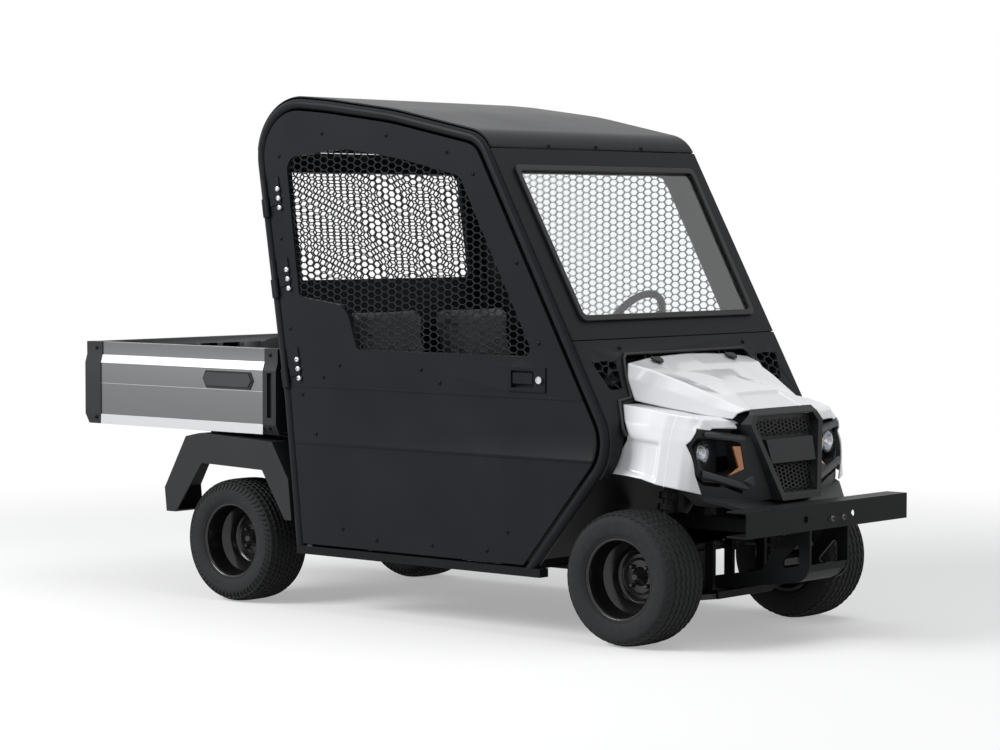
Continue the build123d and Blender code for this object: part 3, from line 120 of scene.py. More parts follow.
class Finish:
    """A material being written: one Principled shader, and a method that adds any other node."""

    def __init__(self, name, **surface):
        self.material = bpy.data.materials.new(name)
        self.material.use_nodes = True
        self.tree = self.material.node_tree
        self.shader = self.tree.nodes["Principled BSDF"]
        for key, value in surface.items():
            self.set(key.replace("_", " "), value)
        self.place = self.node("ShaderNodeTexCoord", {}, output="Object")

    def set(self, title, value):
        """Put a number, a colour or a socket into the shader's input of that name."""
        socket = self.shader.inputs[title]
        if isinstance(value, Socket):
            self.tree.links.new(value.value, socket)
        elif hasattr(value, "__len__") and len(value) == 3 and socket.type == "RGBA":
            socket.default_value = (*value, 1.0)
        else:
            socket.default_value = value

    def node(self, kind, settings, *inputs, output=0, **named):
        """Add a node: its settings first, then the values or links of its sockets."""
        made = self.tree.nodes.new(kind)
        for key, value in settings.items():
            setattr(made, key, value)
        for at, value in [*enumerate(inputs), *named.items()]:
            socket = made.inputs[at if isinstance(at, int) else at.replace("_", " ")]
            if isinstance(value, Socket):
                self.tree.links.new(value.value, socket)
            elif value is not None:
                socket.default_value = value
        return Socket(self, made.outputs[output])

    def noise(self, scale, detail):
        """Noise with a number of cells to the metre."""
        return self.node("ShaderNodeTexNoise", {}, Vector=self.place, Scale=scale, Detail=detail)

    def cells(self, scale):
        """Soft-edged cells, a number of them to the metre."""
        return self.node("ShaderNodeTexVoronoi", {"feature": "SMOOTH_F1"}, Vector=self.place, Scale=scale)

    def mix(self, factor, first, second):
        """Colour between two colours."""
        return self.node("ShaderNodeMix", {"data_type": "RGBA"}, factor, None, None, None, None, None,
                         (*first, 1.0), (*second, 1.0), output=2)

    def tint(self, factor, colour, gain, lift=0.0):
        """Base colour between a colour and the same colour times a gain plus a lift."""
        self.set("Base Color", self.mix(factor, colour, tuple(min(1.0, c * gain + lift) for c in colour)))

    def bump(self, height, depth, strength):
        """Feed a height, in units of depth metres, to the shader's normal."""
        self.set("Normal", self.node("ShaderNodeBump", {}, Strength=strength, Distance=depth, Height=height))


# ---------------------------------------------------------------- finishes
def powder_coat(name, colour, roughness, shine=0.07):
    """Black powder coat: a fine orange-peel skin over slow, faint changes of tone and gloss."""
    finish = Finish(name, Roughness=roughness, Specular_IOR_Level=shine)
    slow = finish.noise(3.0, 3.0)
    finish.tint(slow, colour, 1.25, 0.004)
    finish.set("Roughness", roughness - 0.05 + 0.10 * slow)
    finish.bump(finish.noise(900.0, 1.0), 0.00008, 0.5)
    return finish.material


def grained_plastic(name, colour, roughness, grain=1400.0):
    """Moulded plastic with a leather-like grain."""
    finish = Finish(name, Roughness=roughness, Specular_IOR_Level=0.25)
    slow = finish.noise(6.0, 3.0)
    finish.tint(slow, colour, 1.35, 0.003)
    finish.set("Roughness", roughness + 0.08 * slow)
    finish.bump(finish.cells(grain), 0.00015, 0.5)
    return finish.material


def gloss_paint(name, colour):
    """Gloss solid-colour moulding under a clear coat."""
    finish = Finish(name, Roughness=0.22, Coat_Weight=0.6, Coat_Roughness=0.05)
    finish.tint(finish.noise(2.0, 2.0), colour, 0.965)
    finish.bump(finish.noise(260.0, 1.0), 0.00005, 0.15)
    return finish.material


def metal_paint(name, colour):
    """Silver metallic paint with a fine flake."""
    finish = Finish(name, Metallic=0.75, Roughness=0.38, Coat_Weight=0.3)
    flake = finish.noise(2600.0, 1.0)
    finish.tint(flake, colour, 1.25)
    finish.set("Roughness", 0.30 + 0.14 * flake)
    return finish.material


def tyre_rubber(name, colour):
    """Tyre rubber, paler in slow patches where dust sits."""
    finish = Finish(name, Roughness=0.78, Specular_IOR_Level=0.25)
    dust = finish.noise(45.0, 5.0)
    finish.tint((dust - 0.45).clamped() * 1.6, colour, 1.8, 0.01)
    finish.set("Roughness", 0.66 + 0.25 * dust)
    finish.bump(finish.noise(700.0, 3.0), 0.0002, 0.5)
    return finish.material


def plain_metal(name, colour, roughness, metallic=1.0):
    """Machined or cast metal with a little grime."""
    finish = Finish(name, Metallic=metallic)
    grime = finish.noise(38.0, 4.0)
    finish.tint(grime, colour, 0.55)
    finish.set("Roughness", roughness + 0.25 * grime)
    finish.bump(finish.noise(500.0, 2.0), 0.0001, 0.4)
    return finish.material


def vinyl(name, colour):
    """Soft seat vinyl with a pebbled grain."""
    finish = Finish(name, Roughness=0.5, Sheen_Weight=0.15)
    pebble = finish.cells(620.0)
    finish.tint(finish.noise(9.0, 3.0), colour, 1.4, 0.004)
    finish.set("Roughness", 0.46 + 0.1 * pebble)
    finish.bump(pebble, 0.0004, 0.6)
    return finish.material


def clear_pane(name, colour, roughness=0.02):
    """Clear glazing that lets shadows through."""
    finish = Finish(name, Roughness=roughness, Transmission_Weight=1.0, IOR=1.45, Base_Color=colour)
    finish.set("Roughness", roughness + 0.03 * finish.noise(5.0, 3.0))
    return finish.material


def lens(name, colour, roughness):
    """Coloured lamp lens with fine vertical ribs."""
    finish = Finish(name, Roughness=roughness, Coat_Weight=1.0)
    ribs = finish.node("ShaderNodeTexWave", {}, Vector=finish.place, Scale=40.0)
    finish.tint(ribs, colour, 1.15)
    finish.bump(ribs, 0.0003, 0.3)
    return finish.material


SLOT_FINISH = {}


def make_finishes(colours):
    """Build each finish once and keep it by the record's slot name."""
    SLOT_FINISH.update(
        cab_black=powder_coat("cab powder coat", colours.cab, 0.36),
        frame_black=powder_coat("frame powder coat", colours.frame, 0.42),
        moulding_black=grained_plastic("grained black moulding", colours.moulding, 0.5),
        hood_white=gloss_paint("white gloss moulding", colours.hood),
        bed_silver=metal_paint("silver bed paint", colours.bed),
        # seal_rubber also colours the dark plates and strips painted as shade behind the vents and grille and in the
        # headboard slots.
        seal_rubber=grained_plastic("seal rubber and painted shade plates", (0.012, 0.012, 0.013), 0.45, 400.0),
        pane=clear_pane("windscreen pane", (0.93, 0.97, 0.98)),
        lamp_clear=lens("lamp glass", (0.75, 0.78, 0.82), 0.08),
        lamp_amber=lens("amber lens", colours.amber, 0.2),
        tyre=tyre_rubber("tyre rubber", colours.tyre),
        wheel_black=powder_coat("wheel gloss black", colours.wheel, 0.20, shine=0.5),
        steel=plain_metal("running gear steel", (0.035, 0.036, 0.038), 0.4, 0.6),
        seat=vinyl("seat vinyl", colours.seat),
        engine=plain_metal("engine casting", (0.03, 0.03, 0.03), 0.5, 0.5),
        # screw also colours the black strip painted as shade in the tow slot.
        screw=powder_coat("black screw heads and tow slot shade", (0.010, 0.010, 0.011), 0.3),
        bolt=plain_metal("bright bolt heads", (0.72, 0.73, 0.75), 0.18),
        nut=plain_metal("dark wheel nuts", (0.10, 0.10, 0.105), 0.25, 0.8),
        # bed_bright: pale silver strips painted as highlights on the bed sides.
        bed_bright=metal_paint("painted highlight strips of the bed", colours.bright),
        # badge: grey moulding; on the nose's bezel bars and chin blocks its paler tone is painted light for faces lit
        # from the front and above.
        badge=grained_plastic("satin moulding and painted lit faces", (0.034, 0.036, 0.040), 0.35),
        reflector=plain_metal("lamp reflector", (0.35, 0.36, 0.38), 0.08),
        glass=clear_pane("lamp cover", (0.95, 0.97, 1.0)),
    )


# ---------------------------------------------------------------- mesh helpers
# Shapes are worked out in cart coordinates: X forward from the rear axle, Y to the cart's left,
# Z up from the ground, all in metres. The frame's own origin lies this far ahead of the rear axle.
FRAME_SHIFT = np.array([0.814, 0.0, 0.0])
SIDES = ((-1, "right"), (1, "left"))


def linked(name, data):
    """A new object in the scene, at the origin and unturned."""
    made = bpy.data.objects.new(name, data)
    bpy.context.scene.collection.objects.link(made)
    return made


def from_faces(name, points, faces):
    """A new object from corners in cart coordinates and lists of their numbers."""
    mesh = bpy.data.meshes.new(name)
    mesh.from_pydata((np.asarray(points, float) - FRAME_SHIFT).tolist(), [], faces)
    return linked(name, mesh)


def corners_of(mesh):
    """Places of a mesh's corners."""
    places = np.empty(len(mesh.vertices) * 3)
    mesh.vertices.foreach_get("co", places)
    return places.reshape(-1, 3)


def shade(mesh, smooth_angle):
    """Shade smooth up to an angle."""
    mesh.shade_smooth()
    mesh.set_sharp_from_angle(angle=math.radians(smooth_angle))


def reworked(mesh, work):
    """Pass a mesh through a function of its bmesh."""
    shape = bmesh.new()
    shape.from_mesh(mesh)
    work(shape)
    shape.to_mesh(mesh)
    shape.free()


def merge_and_orient(shape):
    """Merge doubled corners, drop empty faces and point every face outwards."""
    bmesh.ops.remove_doubles(shape, verts=shape.verts, dist=1e-5)
    bmesh.ops.dissolve_degenerate(shape, edges=shape.edges, dist=1e-6)
    bmesh.ops.recalc_face_normals(shape, faces=shape.faces)


def finish_mesh(made, smooth_angle):
    """Clean a mesh and shade it smooth up to an angle."""
    reworked(made.data, merge_and_orient)
    shade(made.data, smooth_angle)


def place_piece(name, points, faces, slot, body, smooth_angle=35.0, stands_for=()):
    """Turn corner and face arrays into a piece that rides a body and wears a slot's finish."""
    made = from_faces(name, points, np.asarray(faces).tolist())
    finish_mesh(made, smooth_angle)
    return dress(made, slot, body, stands_for)


def dress(made, slot, body, stands_for=()):
    """Give a mesh its finish, its body and the nodes it stands for."""
    made.data.materials.clear()
    made.data.materials.append(SLOT_FINISH[slot])
    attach(made, body)
    if stands_for:
        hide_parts(*stands_for)
    return made


def grid_faces(rows, columns, close_rows=False, close_columns=False):
    """Quads of a grid of rows x columns corners, joined round where it closes."""
    down = np.arange(rows if close_rows else rows - 1)[:, None]
    along = np.arange(columns if close_columns else columns - 1)[None, :]
    below, right = (down + 1) % rows, (along + 1) % columns
    return np.stack([down * columns + along, down * columns + right, below * columns + right,
                     below * columns + along], axis=-1).reshape(-1, 4)


def joined(*shapes):
    """Several (points, faces) shapes as one; quads only."""
    points, faces, offset = [], [], 0
    for shape_points, shape_faces in shapes:
        points.append(shape_points)
        faces.append(np.asarray(shape_faces) + offset)
        offset += len(shape_points)
    return np.concatenate(points), np.concatenate(faces)


def unit(vectors):
    """Vectors at length one."""
    vectors = np.asarray(vectors, float)
    return vectors / np.linalg.norm(vectors, axis=-1, keepdims=True)


def turned(profile, sides):
    """Lathe: (radius, along) pairs carried round the Z axis; x = r cos t, y = r sin t, z = along."""
    profile = np.asarray(profile, float)
    turn = np.linspace(0.0, 2.0 * np.pi, sides, endpoint=False)
    points = np.stack([
        profile[:, None, 0] * np.cos(turn), profile[:, None, 0] * np.sin(turn),
        np.broadcast_to(profile[:, None, 1], (len(profile), sides)),
    ], axis=-1)
    return points.reshape(-1, 3), grid_faces(len(profile), sides, False, True)


def set_at(shape, places, normals):
    """Copies of a shape made round the Z axis, each moved to a place with its Z along a normal."""
    points, faces = shape
    places, normals = np.atleast_2d(places), unit(np.atleast_2d(normals))
    spare = np.where(np.abs(normals[:, 2:3]) > 0.9, [[1.0, 0.0, 0.0]], [[0.0, 0.0, 1.0]])
    across = unit(np.cross(spare, normals))
    up = np.cross(normals, across)
    basis = np.stack([across, up, normals], axis=1)
    moved = np.einsum("pk,nkd->npd", points, basis) + places[:, None, :]
    shift = np.arange(len(places))[:, None, None] * len(points)
    return moved.reshape(-1, 3), (faces[None] + shift).reshape(-1, 4)


def copies(name, shape, places, normals, slot, body, smooth_angle=30.0, stands_for=()):
    """One piece of equal turned shapes, such as a row of screws."""
    points, faces = set_at(shape, places, normals)
    return place_piece(name, points, faces, slot, body, smooth_angle, stands_for)


def tube(path, radius, sides):
    """Round bar: a circle carried along a path, square to the path's mean direction at each point,
    and drawn in to a point at both ends."""
    ahead = np.roll(path, -1, 0) - path
    behind = path - np.roll(path, 1, 0)
    ahead[-1], behind[0] = behind[-1], ahead[0]
    along = unit(unit(ahead) + unit(behind))
    spare = np.where(np.abs(along[:, 2:3]) > 0.94, [[0.0, 1.0, 0.0]], [[0.0, 0.0, 1.0]])
    across = unit(np.cross(spare, along))
    up = np.cross(along, across)
    turn = np.linspace(0.0, 2.0 * np.pi, sides, endpoint=False)
    ring = np.cos(turn)[None, :, None] * across[:, None] + np.sin(turn)[None, :, None] * up[:, None]
    ends = np.repeat(path[[0, -1]][:, None], sides, 1)
    points = np.concatenate([ends[:1], path[:, None] + radius * ring, ends[1:]])
    return points.reshape(-1, 3), grid_faces(len(path) + 2, sides, False, True)


def running_length(line):
    """Distance along a line of points from its start to each of them."""
    return np.concatenate([[0.0], np.cumsum(np.linalg.norm(np.diff(line, axis=0), axis=1))])


def curve_through(corners, step):
    """Smooth path: Catmull-Rom through the corners, resampled at even steps."""
    corners = np.asarray(corners, float)
    padded = np.concatenate([2 * corners[:1] - corners[1:2], corners, 2 * corners[-1:] - corners[-2:-1]])
    share = np.linspace(0.0, 1.0, 24, endpoint=False)[None, :, None]
    a, b, c, d = (padded[i:len(padded) - 3 + i][:, None] for i in range(4))
    line = 0.5 * (2 * b + (c - a) * share + (2 * a - 5 * b + 4 * c - d) * share**2
                  + (3 * b - a - 3 * c + d) * share**3)
    line = np.concatenate([line.reshape(-1, corners.shape[1]), corners[-1:]])
    length = running_length(line)
    even = np.linspace(0.0, length[-1], max(4, int(length[-1] / step)))
    return np.stack([np.interp(even, length, line[:, i]) for i in range(corners.shape[1])], 1)


def slab(name, corners, origin, axis_u, axis_v, thick, slot, body, bevel=0.0, stands_for=()):
    """Plate: a flat outline in (u, v) on two axes, thickened along their cross, its edges rounded off."""
    corners = np.asarray(corners, float)
    axis_u, axis_v = np.asarray(axis_u, float), np.asarray(axis_v, float)
    front = np.asarray(origin) + corners[:, :1] * axis_u + corners[:, 1:] * axis_v
    points = np.concatenate([front, front + np.cross(axis_u, axis_v) * thick])
    count = len(corners)
    ring = np.arange(count)
    walls = np.stack([ring, (ring + 1) % count, (ring + 1) % count + count, ring + count], 1).tolist()
    made = from_faces(name, points, walls + [ring[::-1].tolist(), (ring + count).tolist()])
    finish_mesh(made, 35.0)
    if bevel:
        add_bevel(made, bevel)
    return dress(made, slot, body, stands_for)


def slab_pair(name, corners, origin, axis_u, axis_v, thick, slot, body, bevel=0.0, stands_for=()):
    """A slab on the cart's right and its mirror image on the left, where the cross of the mirrored
    axes points the other way. The right one stands for the nodes."""
    for side, word in SIDES:
        mirror = (1, -side, 1)
        slab(f"{name}_{word}", corners, np.multiply(origin, mirror), np.multiply(axis_u, mirror),
             np.multiply(axis_v, mirror), -side * thick, slot, body, bevel, stands_for if side < 0 else ())


def inside(points, outline):
    """Even-odd test of (u, v) points against a closed outline."""
    hit = np.zeros(len(points), bool)
    for (ua, va), (ub, vb) in zip(outline, np.roll(outline, -1, 0)):
        crosses = (va > points[:, 1]) != (vb > points[:, 1])
        level = (points[:, 1] - va) / np.where(vb == va, 1e-9, vb - va)
        hit ^= crosses & (points[:, 0] < ua + level * (ub - ua))
    return hit


def hex_sheet(name, outline, origin, axis_u, axis_v, pitch, bar, thick, slot, body, margin, stands_for=()):
    """Sheet of long hexagonal holes: columns a pitch apart, odd ones half a row up, each cell a ring
    between its own hexagon and one shrunk by the bar; cells count up to a margin past the outline."""
    outline = np.asarray(outline, float)
    middle = outline.mean(0)
    grown = middle + (outline - middle) * (1.0 + margin / np.linalg.norm(outline - middle, axis=1, keepdims=True))
    low, high = grown.min(0), grown.max(0)
    columns, rows = np.meshgrid(np.arange(int((high[0] - low[0]) / pitch[0]) + 2),
                                np.arange(-1, int((high[1] - low[1]) / pitch[1]) + 2), indexing="ij")
    centres = np.stack([low[0] + columns * pitch[0], low[1] + (rows + 0.5 * (columns % 2)) * pitch[1]], -1)
    centres = centres.reshape(-1, 2)
    centres = centres[inside(centres, grown)]
    third, half = pitch[0] / 3.0, pitch[1] / 2.0
    hexagon = np.array([(2 * third, 0), (third, half), (-third, half), (-2 * third, 0), (-third, -half),
                        (third, -half)])
    rings = np.stack([hexagon, hexagon * (1.0 - bar / pitch[1])])
    flat = (centres[:, None, None] + rings[None]).reshape(-1, 2)
    corner = np.arange(6)
    cell = np.stack([corner, (corner + 1) % 6, (corner + 1) % 6 + 6, corner + 6], 1)
    faces = (cell[None] + np.arange(len(centres))[:, None, None] * 12).reshape(-1, 4)
    points = np.asarray(origin) + flat[:, :1] * np.asarray(axis_u) + flat[:, 1:] * np.asarray(axis_v)
    made = place_piece(name, points, faces, slot, body, 180.0, stands_for)
    wall = made.modifiers.new("thickness", "SOLIDIFY")
    wall.thickness, wall.offset = thick, 0.0
    return made


def add_bevel(made, width, segments=2, angle=28.0):
    """Round the edges that are sharper than an angle."""
    bevel = made.modifiers.new("rounded edges", "BEVEL")
    bevel.width, bevel.segments = width, segments
    bevel.limit_method, bevel.angle_limit = "ANGLE", math.radians(angle)
    bevel.use_clamp_overlap, bevel.harden_normals = True, True
    bevel.miter_outer = "MITER_ARC"


def merge_flat(shape):
    """Merge a node's loose triangles and the flat faces among them."""
    bmesh.ops.remove_doubles(shape, verts=shape.verts, dist=2e-5)
    bmesh.ops.dissolve_limit(shape, angle_limit=math.radians(0.6), verts=shape.verts, edges=shape.edges)


def rounded_node(node, width, segments=2, angle=28.0):
    """A copy of a carried-over node with its corners merged and its edges rounded stands for it."""
    source = NODES[node]
    row = next(r for r in frame["record"]["subparts"] if r["node"] == node)
    made = linked(node + "_rounded", source.data.copy())
    reworked(made.data, merge_flat)
    shade(made.data, angle)
    add_bevel(made, width, segments, angle)
    return dress(made, row["material_slot"], body_of(source)[0], (node,))


# ---------------------------------------------------------------- settings
def colour_property(title, note, default):
    """A colour setting of a panel."""
    return FloatVectorProperty(name=title, description=note, subtype="COLOR", min=0.0, max=1.0, default=default)


class CartColours(bpy.types.PropertyGroup):
    """Paint and moulding colours."""

    cab: colour_property("Cab", "Powder coat of the cab's panels", (0.0105, 0.0118, 0.0142))
    frame: colour_property("Frame", "Powder coat of the frame and bumper", (0.0085, 0.0092, 0.0100))
    moulding: colour_property("Mouldings", "Black plastic mouldings", (0.0110, 0.0118, 0.0130))
    hood: colour_property("Hood", "Hood and front fenders", (0.80, 0.81, 0.83))
    bed: colour_property("Bed", "Bed sides", (0.135, 0.138, 0.142))
    # Colour of the highlight strips painted on the bed sides.
    bright: colour_property("Bed bands", "Painted highlight strips along the bed sides", (0.52, 0.53, 0.55))
    amber: colour_property("Signals", "Amber signal lenses", (0.44, 0.125, 0.006))
    tyre: colour_property("Tyres", "Tyre rubber", (0.015, 0.0157, 0.0165))
    wheel: colour_property("Wheels", "Steel wheels", (0.0045, 0.0046, 0.0050))
    seat: colour_property("Seats", "Seat vinyl", (0.030, 0.032, 0.036))


class CartSizes(bpy.types.PropertyGroup):
    """Sizes of the repeated details."""

    mesh_pitch: FloatProperty(name="Mesh pitch", description="Distance between the window mesh's columns",
                              unit="LENGTH", default=0.0360)
    mesh_bar: FloatProperty(name="Mesh bar", description="Width of the window mesh's bars",
                            unit="LENGTH", default=0.0040)
    screw_radius: FloatProperty(name="Screw radius", description="Radius of the round screw heads",
                                unit="LENGTH", default=0.0085)


class CartView(bpy.types.PropertyGroup):
    """Camera and light."""

    eye: FloatVectorProperty(name="Eye", description="Camera position", subtype="TRANSLATION", unit="LENGTH",
                             default=(7.813, -9.122, 1.565))
    yaw: FloatProperty(name="Yaw", description="Turn of the camera from +Y", subtype="ANGLE", default=0.7026)
    pitch: FloatProperty(name="Pitch", description="Camera's dip below level", subtype="ANGLE", default=0.0529)
    roll: FloatProperty(name="Roll", description="Camera's roll", subtype="ANGLE", default=0.0019)
    lens: FloatProperty(name="Lens", description="Focal length in millimetres", default=107.08)
    sky: FloatProperty(name="Sky", description="Strength of the even sky light", default=0.34)


# ---------------------------------------------------------------- stage
# Each lamp's name, its place, the point it faces, its width and height in metres, and its watts.
LAMPS = [("key", (-3.5, -7.2, 5.4), (0.6, 0, 0.9), (5, 3.5), 780),
         ("top", (2.5, 1.0, 7.5), (1.2, 0, 0.5), (6, 5), 200),
         ("front", (8.5, -1.0, 3.2), (1.5, 0, 0.8), (4, 3), 50)]
FLOOR_HALF = 60.0
# The floor keeps its shadow out to FADE_FROM metres and is plain white FADE_OVER metres further on.
FADE_FROM, FADE_OVER, PLAIN_SHARE = 2.6, 3.4, 0.36
FLOOR_LIT, FLOOR_SEEN = (0.45, 0.45, 0.45), (0.93, 0.93, 0.93)
WHITE = (1.0, 1.0, 1.0, 1.0)


def add_area(name, spot, target, size, power):
    """Soft rectangular lamp aimed at a point."""
    lamp = bpy.data.lights.new(name, "AREA")
    lamp.shape = "RECTANGLE"
    lamp.size, lamp.size_y = size
    lamp.energy = power
    made = linked(name, lamp)
    made.location = spot
    made.rotation_mode = "QUATERNION"
    made.rotation_quaternion = (Vector(target) - Vector(spot)).to_track_quat("-Z", "Y")


def seen_directly(tree):
    """1 for rays from the camera, off a mirror or through a pane, 0 for rays that light the cart."""
    path = tree.nodes.new("ShaderNodeLightPath")
    total = path.outputs["Is Camera Ray"]
    for source in (path.outputs["Is Glossy Ray"], path.outputs["Is Transmission Ray"]):
        either = tree.nodes.new("ShaderNodeMath")
        either.operation = "MAXIMUM"
        tree.links.new(total, either.inputs[0])
        tree.links.new(source, either.inputs[1])
        total = either.outputs[0]
    return total


def mixed_shaders(tree, factor, first, second, output):
    """Send a mix of two shaders to an output."""
    mix = tree.nodes.new("ShaderNodeMixShader")
    for source, socket in zip((factor, first.outputs[0], second.outputs[0]), mix.inputs):
        tree.links.new(source, socket)
    tree.links.new(mix.outputs[0], output.inputs[0])


def white_surroundings(sky):
    """World that looks white and lights the cart with an even, weaker sky."""
    world = bpy.data.worlds.new("studio")
    world.use_nodes = True
    tree = world.node_tree
    back = tree.nodes["Background"]
    back.inputs["Color"].default_value = (0.95, 0.97, 1.0, 1.0)
    back.inputs["Strength"].default_value = sky
    white = tree.nodes.new("ShaderNodeBackground")
    white.inputs["Color"].default_value = WHITE
    mixed_shaders(tree, seen_directly(tree), back, white, tree.nodes["World Output"])
    return world


def pale_floor():
    """Matt white floor that keeps the shadow and fades into the white surroundings further out."""
    finish = Finish("pale floor", Roughness=1.0, Specular_IOR_Level=0.0)
    tree = finish.tree
    reach = finish.node("ShaderNodeVectorMath", {"operation": "LENGTH"}, finish.place, output=1)
    fade = ((reach - FADE_FROM) / FADE_OVER).clamped()
    fade = fade * fade * (3.0 - 2.0 * fade)
    direct = Socket(finish, seen_directly(tree))
    finish.set("Base Color", finish.mix(direct, FLOOR_LIT, FLOOR_SEEN))
    plain = tree.nodes.new("ShaderNodeEmission")
    plain.inputs["Color"].default_value = WHITE
    share = (PLAIN_SHARE + (1.0 - PLAIN_SHARE) * fade) * direct
    mixed_shaders(tree, share.value, finish.shader, plain, tree.nodes["Material Output"])
    return finish.material


class CART_OT_stage(bpy.types.Operator):
    """Pale floor, white surroundings, soft lamps and the camera"""

    bl_idname = "cart.stage"
    bl_label = "Stage"

    def execute(self, context):
        scene, view = context.scene, context.scene.cart_view
        scene.view_settings.view_transform = "Standard"
        scene.world = white_surroundings(view.sky)
        mesh = bpy.data.meshes.new("floor")
        mesh.from_pydata([(x * FLOOR_HALF, y * FLOOR_HALF, 0) for x, y in ((-1, -1), (1, -1), (1, 1), (-1, 1))],
                         [], [(0, 1, 2, 3)])
        mesh.materials.append(pale_floor())
        linked("floor", mesh)
        for lamp in LAMPS:
            add_area(*lamp)
        lens_data = bpy.data.cameras.new("camera")
        lens_data.sensor_width = 36.0
        lens_data.lens = view.lens
        camera = linked("camera", lens_data)
        turn = Matrix.Rotation(view.yaw, 4, "Z") @ Matrix.Rotation(math.pi / 2 - view.pitch, 4, "X")
        camera.matrix_world = Matrix.Translation(view.eye) @ turn @ Matrix.Rotation(view.roll, 4, "Z")
        scene.camera = camera
        return {"FINISHED"}


class CART_OT_finishes(bpy.types.Operator):
    """Give every carried-over node its finish"""

    bl_idname = "cart.finishes"
    bl_label = "Finishes"

    def execute(self, context):
        make_finishes(context.scene.cart_colours)
        for row in frame["record"]["subparts"]:
            node = NODES[row["node"]]
            node.data.materials.clear()
            node.data.materials.append(SLOT_FINISH[row["material_slot"]])
        return {"FINISHED"}


# ---------------------------------------------------------------- rounded panels
# Each node's rounding in metres, and the angle in degrees from which an edge is rounded.
ROUNDED = {
    "cab_hoop_right": (0.002, 40.0), "cab_hoop_left": (0.002, 40.0), "cab_crossbars": (0.003, 28.0),
    "roof_panel": (0.006, 25.0), "windshield_panel": (0.003, 25.0), "windshield_seal": (0.005, 35.0),
    "cowl_panel": (0.002, 25.0), "cab_rear_panel": (0.003, 25.0), "front_fascia": (0.003, 20.0),
    "inner_tray": (0.002, 25.0), "bumper_beam": (0.006, 30.0), "bumper_brackets": (0.002, 30.0),
    "front_crossmember": (0.003, 30.0), "rear_fender_right": (0.004, 20.0), "rear_fender_left": (0.004, 20.0),
    "bed_floor": (0.003, 25.0), "bed_side_right": (0.002, 20.0), "bed_side_left": (0.002, 20.0),
    "bed_end_caps": (0.004, 20.0), "tailgate": (0.004, 25.0), "dashboard": (0.006, 25.0),
    "floor_pan": (0.002, 30.0), "chassis_frame": (0.002, 35.0), "door_right": (0.002, 30.0),
    "door_left": (0.002, 30.0), "seat_box": (0.008, 30.0),
}
ROUNDEST = ("roof_panel", "bumper_beam")


class CART_OT_panels(bpy.types.Operator):
    """Round the edges of the cab, body and frame panels"""

    bl_idname = "cart.panels"
    bl_label = "Rounded panels"

    def execute(self, context):
        for node, (width, angle) in ROUNDED.items():
            rounded_node(node, width, 3 if node in ROUNDEST else 2, angle)
        return {"FINISHED"}


# ---------------------------------------------------------------- window meshes
WINDOW = [(0.338, 1.800), (0.450, 1.822), (0.650, 1.830), (0.800, 1.818), (0.948, 1.788), (1.250, 1.722),
          (1.618, 1.050), (0.722, 1.050), (0.690, 1.190), (0.640, 1.228), (0.410, 1.250)]
# The cab's rear post: its foot, its head, and how far it leans back for each metre of height.
POST_FOOT, POST_HEAD, POST_LEAN = np.array([0.339, 0.0, 0.854]), np.array([0.153, 0.0, 2.034]), 0.15763
# The rear window's half width, and its lower and upper edge.
REAR_WINDOW = (0.550, 1.3086, 1.7435)
# Each part of the grille: its lower and upper edge, and its half width at each.
GRILLES = {"upper": (0.768, 0.812, 0.176, 0.165), "lower": (0.560, 0.655, 0.098, 0.135)}
GRILLE_LEAN, GRILLE_PITCH, GRILLE_BAR, GRILLE_TOP = 0.248, (0.0235, 0.0150), 0.0048, (2.264, 0.841)
# The sheets' thickness, the pitch up a column for each metre across, and where the sheets lie.
MESH_THICK, ROW_SHARE, DOOR_MESH_Y, REAR_MESH_BACK = 0.003, 0.75, 0.6425, 0.0095


class CART_OT_meshes(bpy.types.Operator):
    """Hexagonal steel mesh in the door windows, the rear window and the grille"""

    bl_idname = "cart.meshes"
    bl_label = "Window meshes"

    def execute(self, context):
        sizes = context.scene.cart_sizes
        pitch = (sizes.mesh_pitch, sizes.mesh_pitch * ROW_SHARE)
        for side, word in SIDES:
            hex_sheet(f"door_mesh_{word}_fine", WINDOW, (0, side * DOOR_MESH_Y, 0), (1, 0, 0), (0, 0, 1), pitch,
                      sizes.mesh_bar, MESH_THICK, "cab_black", f"door_{word}", 0.016, (f"door_mesh_{word}",))
        up = unit(POST_HEAD - POST_FOOT)
        back = np.array([-up[2], 0.0, up[0]])
        wide, low, high = REAR_WINDOW
        tall = (high - low) / up[2]
        base = POST_FOOT + up * (low - POST_FOOT[2]) / up[2] + back * REAR_MESH_BACK
        hex_sheet("rear_window_mesh_fine", [(-wide, 0.0), (wide, 0.0), (wide, tall), (-wide, tall)], base, (0, 1, 0),
                  up, pitch, sizes.mesh_bar, MESH_THICK, "cab_black", "chassis", 0.012, ("rear_window_mesh",))
        lean = unit([-GRILLE_LEAN, 0.0, 1.0])
        for word, (low, high, half_low, half_high) in GRILLES.items():
            start = np.array([GRILLE_TOP[0] + GRILLE_LEAN * (GRILLE_TOP[1] - low), 0.0, low])
            tall = (high - low) / lean[2]
            window = [(-half_low, 0.0), (half_low, 0.0), (half_high, tall), (-half_high, tall)]
            hex_sheet(f"grille_mesh_{word}", window, start, (0, 1, 0), lean, GRILLE_PITCH, GRILLE_BAR, 0.004,
                      "moulding_black", "chassis", 0.004)
        return {"FINISHED"}


# ---------------------------------------------------------------- tyres
TYRE_PROFILE = [(0.1440, 0.0860), (0.1500, 0.0930), (0.1545, 0.0985), (0.1580, 0.1025), (0.1615, 0.1020),
                (0.1650, 0.1050), (0.1760, 0.1092), (0.1900, 0.1115), (0.2030, 0.1122), (0.2150, 0.1112),
                (0.2260, 0.1072), (0.2350, 0.1000), (0.2415, 0.0900), (0.2460, 0.0760), (0.2485, 0.0550),
                (0.2496, 0.0300), (0.2498, 0.0000)]
TYRE_INSIDE, TYRE_RADIUS, BEAD_REACH = 0.1436, 0.2499, 0.080
